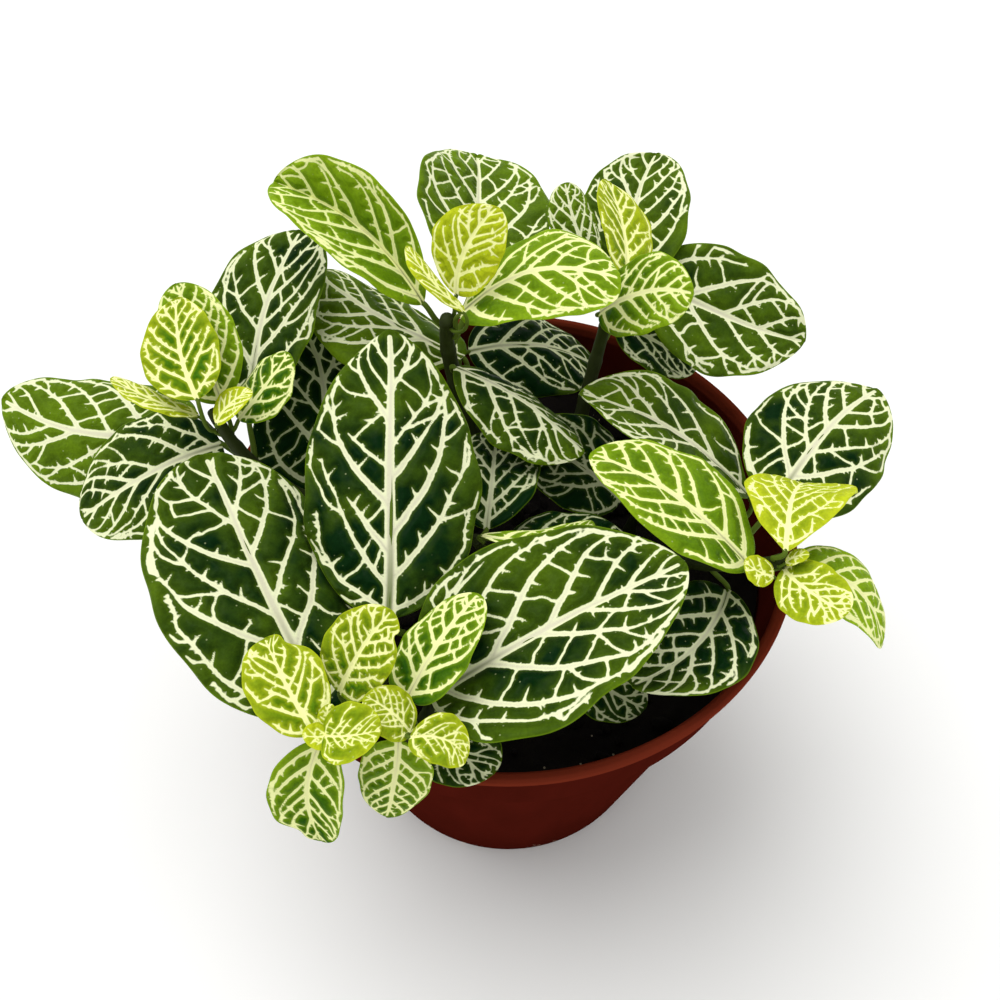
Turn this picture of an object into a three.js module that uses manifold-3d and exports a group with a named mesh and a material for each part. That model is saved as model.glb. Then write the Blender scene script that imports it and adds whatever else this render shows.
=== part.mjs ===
// A potted nerve plant, in millimetres, +Z up. The origin is the middle of the pot's base, on the
// surface it stands on, and -Y is the front. A tapered plastic nursery pot holds a plug of soil. Short
// leafy stems rise from the soil and lean out over the rim, and each leaf is one closed solid: a thin
// petiole that starts beside its stem and widens into a blade.
import * as THREE from 'three';
import { mergeVertices } from 'three/addons/utils/BufferGeometryUtils.js';
import Module from 'manifold-3d';

const wasm = await Module();
wasm.setup();

// Driving dimensions.
const GAP = 0.3; // clearance between pieces that touch
const POT_HEIGHT = 96;
const RIM_RADIUS = 60;
const RIM_HEIGHT = 2.4;
const COLLAR_HEIGHT = 16;
const COLLAR_TOP_RADIUS = 59;
const COLLAR_FOOT_RADIUS = 56.4;
const BODY_TOP_RADIUS = 54;
const FOOT_RADIUS = 38.5;
const WALL = 1.2;
const FLOOR_HEIGHT = 4.5;
const FOOT_RING_WIDTH = 4.5;
const GROOVE_DEPTH = 2.5;
const HUB_RADIUS = 16;
const DRAIN_RADIUS = 3.5;
const DRAIN_CIRCLE = 26;
const DRAIN_COUNT = 6;
const DRAIN_SEGMENTS = 12;
const RIM_EDGE = 0.6; // bevel at the outer edges of the rim
const LEDGE = 1.6; // height of the slope under the collar
const POT_SEGMENTS = 48;
const SOIL_TOP = 80;
const SOIL_CROWN = 1;
const LEAF_THICKNESS = 0.6;
const THICKNESS_TAPER = 0.012; // more thickness per millimetre of blade width
const PETIOLE_RADIUS = 0.4;
const PETIOLE_TAPER = 0.015; // more radius per millimetre of blade width

const plastic = new THREE.MeshStandardMaterial({ color: 0x6e2a1e, roughness: 0.4, metalness: 0 });
const peat = new THREE.MeshStandardMaterial({ color: 0x1c1612, roughness: 0.95, metalness: 0 });
const stemGreen = new THREE.MeshStandardMaterial({ color: 0x6f7a3a, roughness: 0.6, metalness: 0 });
const oldLeaf = new THREE.MeshStandardMaterial({ color: 0x2f5a1c, roughness: 0.5, metalness: 0 });
const middleLeaf = new THREE.MeshStandardMaterial({ color: 0x5f8a1e, roughness: 0.5, metalness: 0 });
const youngLeaf = new THREE.MeshStandardMaterial({ color: 0xa9bf2e, roughness: 0.5, metalness: 0 });

const plant = new THREE.Group();

function place(name, geometry, material) {
  const mesh = new THREE.Mesh(geometry, material);
  mesh.name = name;
  plant.add(mesh);
}

// Joins and cuts work on solids that share their vertices.
function toSolid(geometry) {
  const bare = geometry.clone();
  bare.deleteAttribute('normal');
  bare.deleteAttribute('uv');
  const merged = mergeVertices(bare, 1e-4);
  return new wasm.Manifold(new wasm.Mesh({
    numProp: 3,
    vertProperties: new Float32Array(merged.attributes.position.array),
    triVerts: new Uint32Array(merged.index.array),
  }));
}

function toGeometry(solid) {
  const mesh = solid.getMesh();
  const geometry = new THREE.BufferGeometry();
  geometry.setAttribute('position', new THREE.BufferAttribute(mesh.vertProperties, 3));
  geometry.setIndex(new THREE.BufferAttribute(mesh.triVerts, 1));
  geometry.computeVertexNormals();
  return geometry;
}

// A lathe turns about Y, so its result is stood up about +Z.
function turned(profile, segments) {
  const points = profile.map(([radius, height]) => new THREE.Vector2(radius, height));
  return new THREE.LatheGeometry(points, segments).rotateX(Math.PI / 2);
}

// POT: injection-moulded, with a flat rim band, an upright collar, a tapered body, a flat hub and a
// foot ring with a raised groove between them, where the drain holes come through.
const collarFoot = POT_HEIGHT - RIM_HEIGHT - COLLAR_HEIGHT;
const ledge = collarFoot - LEDGE;

function potGeometry() {
  const shell = turned([
    [0, 0],
    [HUB_RADIUS, 0],
    [HUB_RADIUS + 1, GROOVE_DEPTH],
    [FOOT_RADIUS - FOOT_RING_WIDTH, GROOVE_DEPTH],
    [FOOT_RADIUS - FOOT_RING_WIDTH, 0],
    [FOOT_RADIUS, 0],
    [BODY_TOP_RADIUS, ledge],
    [COLLAR_FOOT_RADIUS, collarFoot],
    [COLLAR_TOP_RADIUS, POT_HEIGHT - RIM_HEIGHT],
    [RIM_RADIUS - RIM_EDGE, POT_HEIGHT - RIM_HEIGHT],
    [RIM_RADIUS, POT_HEIGHT - RIM_HEIGHT + RIM_EDGE],
    [RIM_RADIUS, POT_HEIGHT - RIM_EDGE],
    [RIM_RADIUS - RIM_EDGE, POT_HEIGHT],
    [COLLAR_TOP_RADIUS - WALL + RIM_EDGE, POT_HEIGHT],
    [COLLAR_TOP_RADIUS - WALL, POT_HEIGHT - RIM_EDGE],
    [COLLAR_FOOT_RADIUS - WALL, collarFoot],
    [BODY_TOP_RADIUS - WALL, ledge],
    [FOOT_RADIUS - WALL, FLOOR_HEIGHT],
    [0, FLOOR_HEIGHT],
  ], POT_SEGMENTS);
  let solid = toSolid(shell);
  for (let i = 0; i < DRAIN_COUNT; i += 1) {
    const angle = (i * 2 * Math.PI) / DRAIN_COUNT;
    const drain = new THREE.CylinderGeometry(DRAIN_RADIUS, DRAIN_RADIUS, 3 * FLOOR_HEIGHT, DRAIN_SEGMENTS);
    drain.rotateX(Math.PI / 2);
    drain.translate(DRAIN_CIRCLE * Math.cos(angle), DRAIN_CIRCLE * Math.sin(angle), 0);
    solid = solid.subtract(toSolid(drain));
  }
  return toGeometry(solid);
}

place('pot', potGeometry(), plastic);

// SOIL: a plug of peat that fills the pot up to a low crown below the rim. Its wall stays clear of the
// inside of the pot by GAP, measured square to the taper.
const SOIL_INSET = WALL + GAP + 0.05;

function soilGeometry() {
  return turned([
    [0, FLOOR_HEIGHT + GAP],
    [FOOT_RADIUS - SOIL_INSET, FLOOR_HEIGHT + GAP],
    [BODY_TOP_RADIUS - SOIL_INSET, ledge],
    [COLLAR_FOOT_RADIUS - SOIL_INSET, collarFoot + GAP],
    [COLLAR_FOOT_RADIUS - SOIL_INSET, SOIL_TOP],
    [0, SOIL_TOP + SOIL_CROWN],
  ], POT_SEGMENTS);
}

place('soil', soilGeometry(), peat);

// A closed skin over rings of equal length, with a flat fan on the first ring and a point or a flat
// fan on the last. Each ring runs anticlockwise about the way from the first ring to the last.
function skin(rings) {
  const count = rings[0].length;
  const positions = [];
  const index = [];
  rings.forEach((ring) => ring.forEach((point) => positions.push(point.x, point.y, point.z)));
  for (let i = 0; i < rings.length - 1; i += 1) {
    for (let k = 0; k < count; k += 1) {
      const a = i * count + k;
      const b = i * count + ((k + 1) % count);
      index.push(a, b, b + count, a, b + count, a + count);
    }
  }
  [rings[0], rings[rings.length - 1]].forEach((ring, end) => {
    const centre = ring.reduce((sum, point) => sum.add(point), new THREE.Vector3()).divideScalar(count);
    const hub = positions.length / 3;
    positions.push(centre.x, centre.y, centre.z);
    const first = end * (rings.length - 1) * count;
    for (let k = 0; k < count; k += 1) {
      const a = first + k;
      const b = first + ((k + 1) % count);
      index.push(hub, end ? a : b, end ? b : a);
    }
  });
  const geometry = new THREE.BufferGeometry();
  geometry.setAttribute('position', new THREE.Float32BufferAttribute(positions, 3));
  geometry.setIndex(index);
  geometry.computeVertexNormals();
  return geometry;
}

// STEMS: each is a tapered round tube along a cubic curve. It leaves the soil straight up.
const STEM_SIDES = 8;
const STEM_STEPS = 8;
const stems = {};

// Two directions square to the curve's tangent, carried along it without twist.
function carriedFrames(curve, steps, side) {
  const frames = [];
  let across = side.clone();
  for (let i = 0; i <= steps; i += 1) {
    const tangent = curve.getTangent(i / steps);
    across = across.clone().addScaledVector(tangent, -across.dot(tangent)).normalize();
    const up = tangent.clone().cross(across);
    frames.push({ point: curve.getPoint(i / steps), across, up });
  }
  return frames;
}

function circle({ point, across, up }, radius, sides) {
  return Array.from({ length: sides }, (_, k) => {
    const angle = (k * 2 * Math.PI) / sides;
    return point.clone()
      .addScaledVector(across, radius * Math.cos(angle))
      .addScaledVector(up, radius * Math.sin(angle));
  });
}

function stem(name, bottomRadius, topRadius, controls) {
  const curve = new THREE.CubicBezierCurve3(...controls.map((p) => new THREE.Vector3(...p)));
  const radiusAt = (u) => bottomRadius + (topRadius - bottomRadius) * u;
  stems[name] = { curve, radiusAt };
  const frames = carriedFrames(curve, STEM_STEPS, new THREE.Vector3(1, 0.1, 0));
  const rings = frames.map((frame, i) => circle(frame, radiusAt(i / STEM_STEPS), STEM_SIDES));
  place(name, skin(rings), stemGreen);
}

// The seat of a side shoot or a petiole: a point GAP outside the parent stem, and the way out of it,
// square to the parent and as near as may be to the way to the target.
function seatOn(parentName, at, target) {
  const { curve, radiusAt } = stems[parentName];
  const middle = curve.getPoint(at);
  const along = curve.getTangent(at);
  const out = target.clone().sub(middle);
  out.addScaledVector(along, -out.dot(along)).normalize();
  return { start: middle.clone().addScaledVector(out, radiusAt(at) + GAP), out };
}

// The first two points of a stem: its foot, GAP above the soil, and the point straight above it that
// the curve sets out towards.
function rising(x, y, height) {
  const fall = Math.hypot(x, y) / (COLLAR_FOOT_RADIUS - SOIL_INSET);
  return [[x, y, SOIL_TOP + SOIL_CROWN * (1 - fall) + GAP], [x, y, height]];
}

stem('stem_front', 2.1, 1.1, [...rising(-7, -14, 100), [-22, -46, 104], [-27.5, -60, 119]]);
stem('stem_left', 2, 1.1, [...rising(-22, -4, 97), [-51, -2.5, 100], [-54.5, -1.5, 128]]);
stem('stem_centre', 2.3, 1.3, [...rising(-5, 13, 104), [-14, 22, 116], [-11.5, 16.5, 134.5]]);
stem('stem_back_right', 1.9, 1.1, [...rising(14, 18, 98), [21, 36, 112], [21, 27.5, 129.5]]);
stem('stem_right', 1.9, 1.1, [...rising(17, -8, 100), [40, -22, 102], [48.3, -29, 120]]);
stem('stem_middle', 1.5, 1, [...rising(2, -6, 92), [-5, -14, 98], [-6, -19, 112]]);
stem('stem_low', 1.4, 1, [...rising(4, -22, 88), [7, -28, 88], [9, -33, 94]]);
stem('stem_low_right', 1.4, 1, [...rising(27, 4, 86), [28, 3, 89], [28, 2, 93]]);

const forkTarget = new THREE.Vector3(-12, -48, 110);
const fork = seatOn('stem_front', 0.52, forkTarget);
stem('stem_front_fork', 1.3, 1, [
  fork.start.toArray(),
  fork.start.clone().addScaledVector(fork.out, 5).toArray(),
  [-14, -56, 106],
  [-15.5, -61, 117],
]);

// LEAVES. A blade lies along an arc that droops about its chord. Across the chord it folds up from the
// midrib by `fold` degrees and then curls by `cup` degrees towards its margin.
const LEAF_SIDES = 8;
const LONG_LEAF = 30;
const LONG_STEPS = [0.03, 0.11, 0.23, 0.38, 0.54, 0.7, 0.85, 0.95, 0.99];
const SHORT_STEPS = [0.05, 0.2, 0.42, 0.66, 0.88, 0.985];
const PETIOLE_STEPS = 3;
const degrees = THREE.MathUtils.degToRad;

// The outline: half a width of 1 at its widest, rounder at the base or the tip as the powers fall.
function halfWidth(s, shoulder, tip) {
  const widest = shoulder / (shoulder + tip);
  const peak = widest ** shoulder * (1 - widest) ** tip;
  return (s ** shoulder * (1 - s) ** tip) / peak;
}

// The chord's frame: `along` points to the tip, `left` to the leaf's left and `up` out of its face.
function chordFrame(heading, rise, roll) {
  const h = degrees(heading);
  const r = degrees(rise);
  const along = new THREE.Vector3(Math.cos(h) * Math.cos(r), Math.sin(h) * Math.cos(r), Math.sin(r));
  const level = new THREE.Vector3(-Math.sin(h), Math.cos(h), 0);
  const steep = along.clone().cross(level);
  const w = degrees(roll);
  const left = level.clone().multiplyScalar(Math.cos(w)).addScaledVector(steep, Math.sin(w));
  const up = steep.clone().multiplyScalar(Math.cos(w)).addScaledVector(level, -Math.sin(w));
  return { along, left, up };
}

// The section at s along the midrib: a flat lens, thickest at the midrib.
function bladeRing(leaf, s) {
  const { along, left, up } = leaf.frame;
  const droop = degrees(leaf.droop);
  const slope = droop * (0.5 - s);
  const reach = ((Math.sin(droop / 2) - Math.sin(slope)) / droop) * leaf.length;
  const lift = ((Math.cos(slope) - Math.cos(droop / 2)) / droop) * leaf.length;
  const midrib = leaf.base.clone().addScaledVector(along, reach).addScaledVector(up, lift)
    .addScaledVector(left, leaf.sweep * 4 * s * (1 - s));
  const out = up.clone().multiplyScalar(Math.cos(slope)).addScaledVector(along, -Math.sin(slope));
  const half = (leaf.width / 2) * halfWidth(s, leaf.shoulder, leaf.tip);
  const fold = degrees(leaf.fold);
  const curl = degrees(leaf.cup) / (leaf.width / 2);
  return Array.from({ length: LEAF_SIDES }, (_, k) => {
    const angle = (k * 2 * Math.PI) / LEAF_SIDES;
    const side = Math.sign(Math.round(1000 * Math.cos(angle)));
    const x = half * Math.abs(Math.cos(angle));
    const turn = fold + curl * x;
    const sideways = (side * (Math.sin(turn) - Math.sin(fold))) / curl;
    const rising = (Math.cos(fold) - Math.cos(turn)) / curl;
    const thick = ((LEAF_THICKNESS + THICKNESS_TAPER * leaf.width) / 2) * Math.sin(angle);
    return midrib.clone()
      .addScaledVector(left, sideways - side * thick * Math.sin(turn))
      .addScaledVector(out, rising + thick * Math.cos(turn));
  });
}

function leaf(name, age, parent, at, base, aim, size, bend, outline) {
  const [length, width] = size;
  const [droop, fold, cup] = bend;
  const [sweep, shoulder, tip] = outline;
  const start = new THREE.Vector3(...base);
  const petioleRadius = PETIOLE_RADIUS + PETIOLE_TAPER * width;
  const frame = chordFrame(...aim);
  const row = { base: start, frame, length, width, droop, fold, cup, sweep, shoulder, tip };
  const seat = seatOn(parent, at, start);
  const pull = 0.4 * seat.start.distanceTo(start);
  const tilt = degrees(droop) / 2;
  const enter = frame.along.clone().multiplyScalar(Math.cos(tilt))
    .addScaledVector(frame.up, Math.sin(tilt));
  const petiole = new THREE.CubicBezierCurve3(
    start,
    start.clone().addScaledVector(enter, -pull),
    seat.start.clone().addScaledVector(seat.out, pull),
    seat.start,
  );
  // The frames are carried from the blade back to the stem, so that the petiole joins without a twist.
  const back = frame.left.clone().negate();
  const frames = carriedFrames(petiole, PETIOLE_STEPS, back).reverse();
  const petioleRings = frames.map(({ point, across, up }) => (
    circle({ point, across: across.clone().negate(), up }, petioleRadius, LEAF_SIDES)));
  const steps = length > LONG_LEAF ? LONG_STEPS : SHORT_STEPS;
  place(name, skin([...petioleRings, ...steps.map((s) => bladeRing(row, s))]), age);
}

// Each row gives: the leaf's name and age; its stem, and how far up the stem it is seated; the foot of
// its blade; its heading from +X, its rise and its roll, in degrees; its length and width; its droop
// from end to end, its fold and its cup, in degrees; and its outline: how far its midrib bows to its
// left, and the powers of its base and tip.

// Front shoot: three of the largest leaves and one that hangs over the rim.
leaf('leaf_front_left_large', oldLeaf, 'stem_front', 0.75,
  [-30, -56, 113.5], [119, 16, 19], [52.5, 37], [13, 5, -35], [0.5, 0.5, 0.5]);
leaf('leaf_front_centre_large', oldLeaf, 'stem_front', 0.6,
  [-20.5, -39, 116.5], [91, 28, 4], [52, 33], [18, -8, -20], [-0.5, 0.55, 0.7]);
leaf('leaf_front_right_large', oldLeaf, 'stem_front_fork', 0.45,
  [-13, -52, 113], [25, 12, 0], [49, 36], [14, 14, -2], [0, 0.4, 0.65]);
leaf('leaf_front_rim_low', oldLeaf, 'stem_front', 0.66,
  [-12.5, -48, 103], [-53, -14, 2], [16, 14.5], [17, 15, -15], [-2, 0.6, 0.5]);

// The left tip of the front shoot, with its youngest leaves close together.
leaf('leaf_front_left_bright', youngLeaf, 'stem_front', 0.98,
  [-29.9, -62.9, 121.9], [122, 23, 2], [16.8, 12.6], [15, 12, -10], [0.3, 0.5, 0.42]);
leaf('leaf_front_left_upright', youngLeaf, 'stem_front', 0.92,
  [-27.1, -54.3, 118.9], [31, 55, 24], [19.5, 12.4], [22, 12, -8], [0.5, 0.5, 0.5]);
leaf('leaf_front_left_tip_low', youngLeaf, 'stem_front', 0.95,
  [-27.9, -64.2, 121.4], [-5, 15, 5], [9.8, 10.3], [50, 22, -6], [-1, 0.55, 0.55]);
leaf('leaf_front_left_tip_inner', youngLeaf, 'stem_front', 0.98,
  [-27.2, -62, 122.2], [96, 40, 10], [3.8, 3], [15, 15, -14], [0.5, 0.5, 0.5]);
leaf('leaf_front_left_hanging', middleLeaf, 'stem_front', 0.94,
  [-29.7, -61.3, 116.5], [-98, -62, -4], [21, 13.2], [20, 18, 3], [-2, 0.45, 0.55]);

// The right tip of the front shoot.
leaf('leaf_front_right_upright', middleLeaf, 'stem_front_fork', 0.88,
  [-16, -56.5, 120.5], [58, 8, -18], [21.5, 14], [14, 4, -10], [0.6, 0.35, 0.55]);
leaf('leaf_front_right_hanging', middleLeaf, 'stem_front_fork', 0.8,
  [-17.5, -61, 115.5], [-119, -70, -26], [19, 12.6], [13, 5, -31], [0.5, 0.5, 0.6]);
leaf('leaf_front_right_tip_inner', youngLeaf, 'stem_front_fork', 0.98,
  [-15.2, -61.6, 119.4], [155, 42, -8], [10, 8], [18, 14, -17], [-0.5, 0.5, 0.5]);
leaf('leaf_front_right_tip_outer', youngLeaf, 'stem_front_fork', 0.94,
  [-15.7, -63.7, 119.8], [-24, -30, 25], [10, 9], [20, 18, -17], [1.5, 0.5, 0.5]);

// Left shoot: old leaves low on the stem, and a bright rosette at its tip.
leaf('leaf_left_tip_bright', youngLeaf, 'stem_left', 0.95,
  [-56.5, -1.9, 131.7], [107, 19, -12], [21.5, 15], [10, 13, -14], [1, 0.5, 0.65]);
leaf('leaf_left_tip_behind', middleLeaf, 'stem_left', 0.9,
  [-54.5, 4, 124.5], [116, 35, -23], [24.5, 16], [18, 12, -16], [-0.5, 0.55, 0.6]);
leaf('leaf_left_tip_folded', youngLeaf, 'stem_left', 0.92,
  [-57.9, -0.8, 125.9], [168, 24, 30], [17, 8.6], [10, 11, -22], [2.5, 0.55, 0.5]);
leaf('leaf_left_tip_small', youngLeaf, 'stem_left', 0.97,
  [-53.5, -4.3, 127.6], [39, 23, -2], [9, 6.4], [14, 15, -15], [1, 0.55, 0.55]);
leaf('leaf_left_inner', middleLeaf, 'stem_left', 0.92,
  [-51, 0.4, 123.6], [45, 30, -6], [16, 12.5], [19, 4, -22], [-1, 0.55, 0.6]);
leaf('leaf_left_upright', oldLeaf, 'stem_left', 0.8,
  [-52, 11, 116.5], [76, 23, -10], [39.5, 26], [20, 8, 1], [1.5, 0.45, 0.45]);
leaf('leaf_left_far', oldLeaf, 'stem_left', 0.74,
  [-63, 7, 112.5], [167, -1, -22], [43.5, 28], [9, -3, -32], [4, 0.5, 0.6]);
leaf('leaf_left_front', oldLeaf, 'stem_left', 0.82,
  [-56, 1.1, 115.5], [-161, -20, -20], [32.5, 25], [25, 8, -22], [-1, 0.5, 0.6]);
leaf('leaf_left_edge', oldLeaf, 'stem_left', 0.48,
  [-41, 1, 101], [98, 23, 2], [39.5, 30], [16, 14, -16], [-5, 0.3, 0.7]);

// Centre shoot: the tallest, behind the middle of the pot.
leaf('leaf_centre_left_bright', middleLeaf, 'stem_centre', 0.95,
  [-16, 18.5, 136.5], [141, 14, -30], [40, 25.5], [8, 48, 4], [-3.5, 0.6, 0.65]);
leaf('leaf_centre_back', oldLeaf, 'stem_centre', 0.8,
  [-7, 30.5, 131], [90, -1, 17], [44.5, 31], [15, 19, 3], [-0.5, 0.55, 0.65]);
leaf('leaf_centre_tip_bright', youngLeaf, 'stem_centre', 0.97,
  [-9.5, 17, 140], [32, 60, 33], [18.5, 14], [16, 8, -16], [2, 0.6, 0.6]);
leaf('leaf_centre_tip_folded', youngLeaf, 'stem_centre', 0.97,
  [-8, 10.5, 141.5], [136, 26, 37], [16, 8], [8, 10, -27], [3, 0.55, 0.5]);
leaf('leaf_centre_right_bright', middleLeaf, 'stem_centre', 0.95,
  [-9, 15.4, 136.3], [0, 16, 6], [31.1, 22], [27, -4, -3], [5, 0.6, 0.45]);
leaf('leaf_centre_left_low', oldLeaf, 'stem_centre', 0.56,
  [-9.2, 22.6, 118], [149, 10, 9], [37.5, 26], [28, -11, -22], [4, 0.5, 0.5]);
leaf('leaf_centre_right_low', oldLeaf, 'stem_centre', 0.52,
  [-8.5, 32, 110.5], [16, -24, 12], [34.5, 24], [44, -2, -23], [1.5, 0.55, 0.65]);
leaf('leaf_centre_front_low', oldLeaf, 'stem_centre', 0.72,
  [-10.5, 14, 124], [-29, -19, -16], [31, 22], [30, -16, -25], [0.5, 0.7, 0.6]);

// Back right shoot.
leaf('leaf_back_right_rear', oldLeaf, 'stem_back_right', 0.78,
  [26.5, 40.5, 123.5], [78, 13, -2], [35, 24], [16, 18, -11], [2, 0.45, 0.6]);
leaf('leaf_back_right_small', oldLeaf, 'stem_back_right', 0.86,
  [18.5, 40, 126.5], [114, 34, 11], [19.5, 11.5], [17, 6, -24], [1.5, 0.6, 0.5]);
leaf('leaf_back_right_tip', youngLeaf, 'stem_back_right', 0.97,
  [23, 26.5, 135.5], [99, 22, 36], [22, 15], [12, 15, -15], [-1.5, 0.6, 0.6]);
leaf('leaf_back_right_front', middleLeaf, 'stem_back_right', 0.95,
  [18, 21.8, 130.8], [-33, 37, 40], [23.2, 16], [17, 3, -16], [2, 0.5, 0.55]);
leaf('leaf_back_right_large', oldLeaf, 'stem_back_right', 0.72,
  [30, 43, 122], [-14, -17, 28], [37.5, 28.5], [11, 16, -18], [-2, 0.55, 0.7]);
leaf('leaf_back_right_low', oldLeaf, 'stem_back_right', 0.63,
  [23.2, 39.5, 112.3], [-11, -28, 14], [22.5, 16], [18, 14, -19], [0, 0.5, 0.55]);

// Right shoot.
leaf('leaf_right_inner_bright', middleLeaf, 'stem_right', 0.8,
  [43, -28, 116], [147, 16, 12], [35, 24], [22, 17, -26], [-2, 0.55, 0.65]);
leaf('leaf_right_rear', oldLeaf, 'stem_right', 0.76,
  [51, -10.5, 110], [48, 5, 9], [38.5, 29], [23, -1, -23], [2, 0.6, 0.7]);
leaf('leaf_right_tip_fan', youngLeaf, 'stem_right', 0.98,
  [47.5, -30.2, 124], [67, -20, -8], [26, 20.5], [72, 9, -4], [1, 0.8, 0.34]);
leaf('leaf_right_tip_small', youngLeaf, 'stem_right', 0.93,
  [46.3, -31.8, 118.6], [166, 25, -12], [6.2, 5.6], [13, 13, -17], [0.5, 0.55, 0.55]);
leaf('leaf_right_tip_front', youngLeaf, 'stem_right', 0.89,
  [48.4, -30, 118.4], [-52, 10, 18], [14, 11.5], [34, 10, -18], [-1, 0.5, 0.5]);
leaf('leaf_right_curled', middleLeaf, 'stem_right', 0.92,
  [49.6, -28.2, 116], [-22, -33, -4], [26, 14.5], [66, 10, -26], [3, 0.45, 0.55]);
leaf('leaf_right_inner_dark', oldLeaf, 'stem_right', 0.62,
  [49, -1, 102], [164, 28, 11], [41.5, 27], [16, 16, -12], [-3.5, 0.65, 0.7]);
leaf('leaf_right_low', oldLeaf, 'stem_right', 0.7,
  [42, -24, 102], [-133, 4, 3], [29.5, 21], [20, 13, -15], [3.5, 0.55, 0.55]);

// Short shoots in the middle of the pot and low over the soil.
leaf('leaf_middle_edge_on', middleLeaf, 'stem_middle', 0.96,
  [-5, -20.5, 115], [9, -2, -26], [21.5, 7.5], [18, 13, -19], [-5.5, 0.55, 0.4]);
leaf('leaf_middle_upright', oldLeaf, 'stem_middle', 0.92,
  [-4, -15, 109.5], [85, 1, -3], [24, 19], [20, 14, -16], [0, 0.6, 0.55]);
leaf('leaf_middle_flat', oldLeaf, 'stem_middle', 0.8,
  [-0.5, -16.5, 105], [5, -4, -11], [25.5, 17], [17, 10, -15], [0.5, 0.55, 0.6]);
leaf('leaf_low_front', oldLeaf, 'stem_low', 0.95,
  [10.5, -35.5, 97], [-26, -21, 12], [18.5, 13], [17, 14, -18], [-1, 0.55, 0.6]);
leaf('leaf_low_right', oldLeaf, 'stem_low_right', 0.95,
  [24, 2.5, 95.7], [163, 33, -22], [26, 20], [18, 12, -18], [-1, 0.55, 0.55]);

export default plant;
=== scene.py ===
import math
import random

import bpy
import numpy as np
from mathutils import Matrix, Vector, noise


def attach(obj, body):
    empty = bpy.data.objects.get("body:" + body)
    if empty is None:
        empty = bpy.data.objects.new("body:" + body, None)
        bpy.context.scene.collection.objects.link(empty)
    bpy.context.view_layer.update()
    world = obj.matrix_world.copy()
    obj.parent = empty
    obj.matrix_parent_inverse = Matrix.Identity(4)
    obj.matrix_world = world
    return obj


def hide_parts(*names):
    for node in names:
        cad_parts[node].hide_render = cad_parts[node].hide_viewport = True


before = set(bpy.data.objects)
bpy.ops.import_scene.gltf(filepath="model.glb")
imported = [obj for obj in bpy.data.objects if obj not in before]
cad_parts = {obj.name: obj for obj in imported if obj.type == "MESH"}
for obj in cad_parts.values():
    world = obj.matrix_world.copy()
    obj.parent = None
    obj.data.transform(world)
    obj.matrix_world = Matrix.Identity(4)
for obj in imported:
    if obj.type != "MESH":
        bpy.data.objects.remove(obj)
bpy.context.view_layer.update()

# VIEWPOINT. The plant is seen from above its front, from close by, so the near leaves look larger.
# The camera stands where the rim, the pot's foot and the leaves agree with the photograph.
mm = 0.001
eye_distance = 220 * mm  # from the middle of the rim to the lens
eye_tilt = math.radians(53)  # how far the view looks down
rim_middle = Vector((0, 0, 96 * mm))
frame_pixels = 1000
focal_pixels = 1047.7
rim_pixel = (507.6, 509.2)  # where the middle of the rim lies in the frame
sensor_width = 36

towards = Vector((0, math.cos(eye_tilt), -math.sin(eye_tilt)))
rightwards = Vector((1, 0, 0))
upwards = rightwards.cross(towards)
turn_right = math.atan2(frame_pixels / 2 - rim_pixel[0], focal_pixels)
turn_up = -math.atan2(frame_pixels / 2 - rim_pixel[1], focal_pixels)
level_view = towards * math.cos(turn_right) + rightwards * math.sin(turn_right)
camera_right = rightwards * math.cos(turn_right) - towards * math.sin(turn_right)
camera_view = level_view * math.cos(turn_up) + upwards * math.sin(turn_up)
camera_up = upwards * math.cos(turn_up) - level_view * math.sin(turn_up)
bpy.ops.object.camera_add()
camera = bpy.context.object
camera.name = "viewpoint"
camera.matrix_world = Matrix((camera_right, camera_up, -camera_view)).transposed().to_4x4()
camera.location = rim_middle - towards * eye_distance
camera.data.sensor_width = sensor_width
camera.data.lens = focal_pixels / frame_pixels * sensor_width
camera.data.clip_start = 10 * mm
camera.data.clip_end = 50
camera.data.dof.use_dof = False
bpy.context.scene.camera = camera


# POT. An injection-moulded polypropylene nursery pot: a tapered body, an upright collar, and a flat
# rolled rim. Brick red, satin, with six drain holes in a groove under the base. Sizes are in millimetres.
pot_height = 96
rim_radius, rim_height, rim_edge = 60, 2.4, 0.6
collar_height, collar_top, collar_foot = 16, 59, 56.4
ledge = 1.6  # height of the slope under the collar
body_top, foot_radius = 54, 38.5
wall, floor_height = 1.2, 4.5
foot_ring, groove, hub, hub_slope = 4.5, 2.5, 16, 1
drain_radius, drain_circle, drain_count, drain_sides = 3.5, 26, 6, 32
pot_sides = 160
pot_rounding = 0.35  # radius of the moulding's edges
edge_angle, crease_angle = math.radians(25), math.radians(35)  # what is rounded, and what looks sharp
lift = 0.15  # the lathe's first ring stands this far off the floor, so the rounded foot touches it


def begin_piece(*chosen):
    """Leaves edit mode and selects nothing but the chosen pieces. The last one is active."""
    if bpy.context.object and bpy.context.object.mode != "OBJECT":
        bpy.ops.object.mode_set(mode="OBJECT")
    bpy.ops.object.select_all(action="DESELECT")
    for piece in chosen:
        piece.select_set(True)
        bpy.context.view_layer.objects.active = piece


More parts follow.
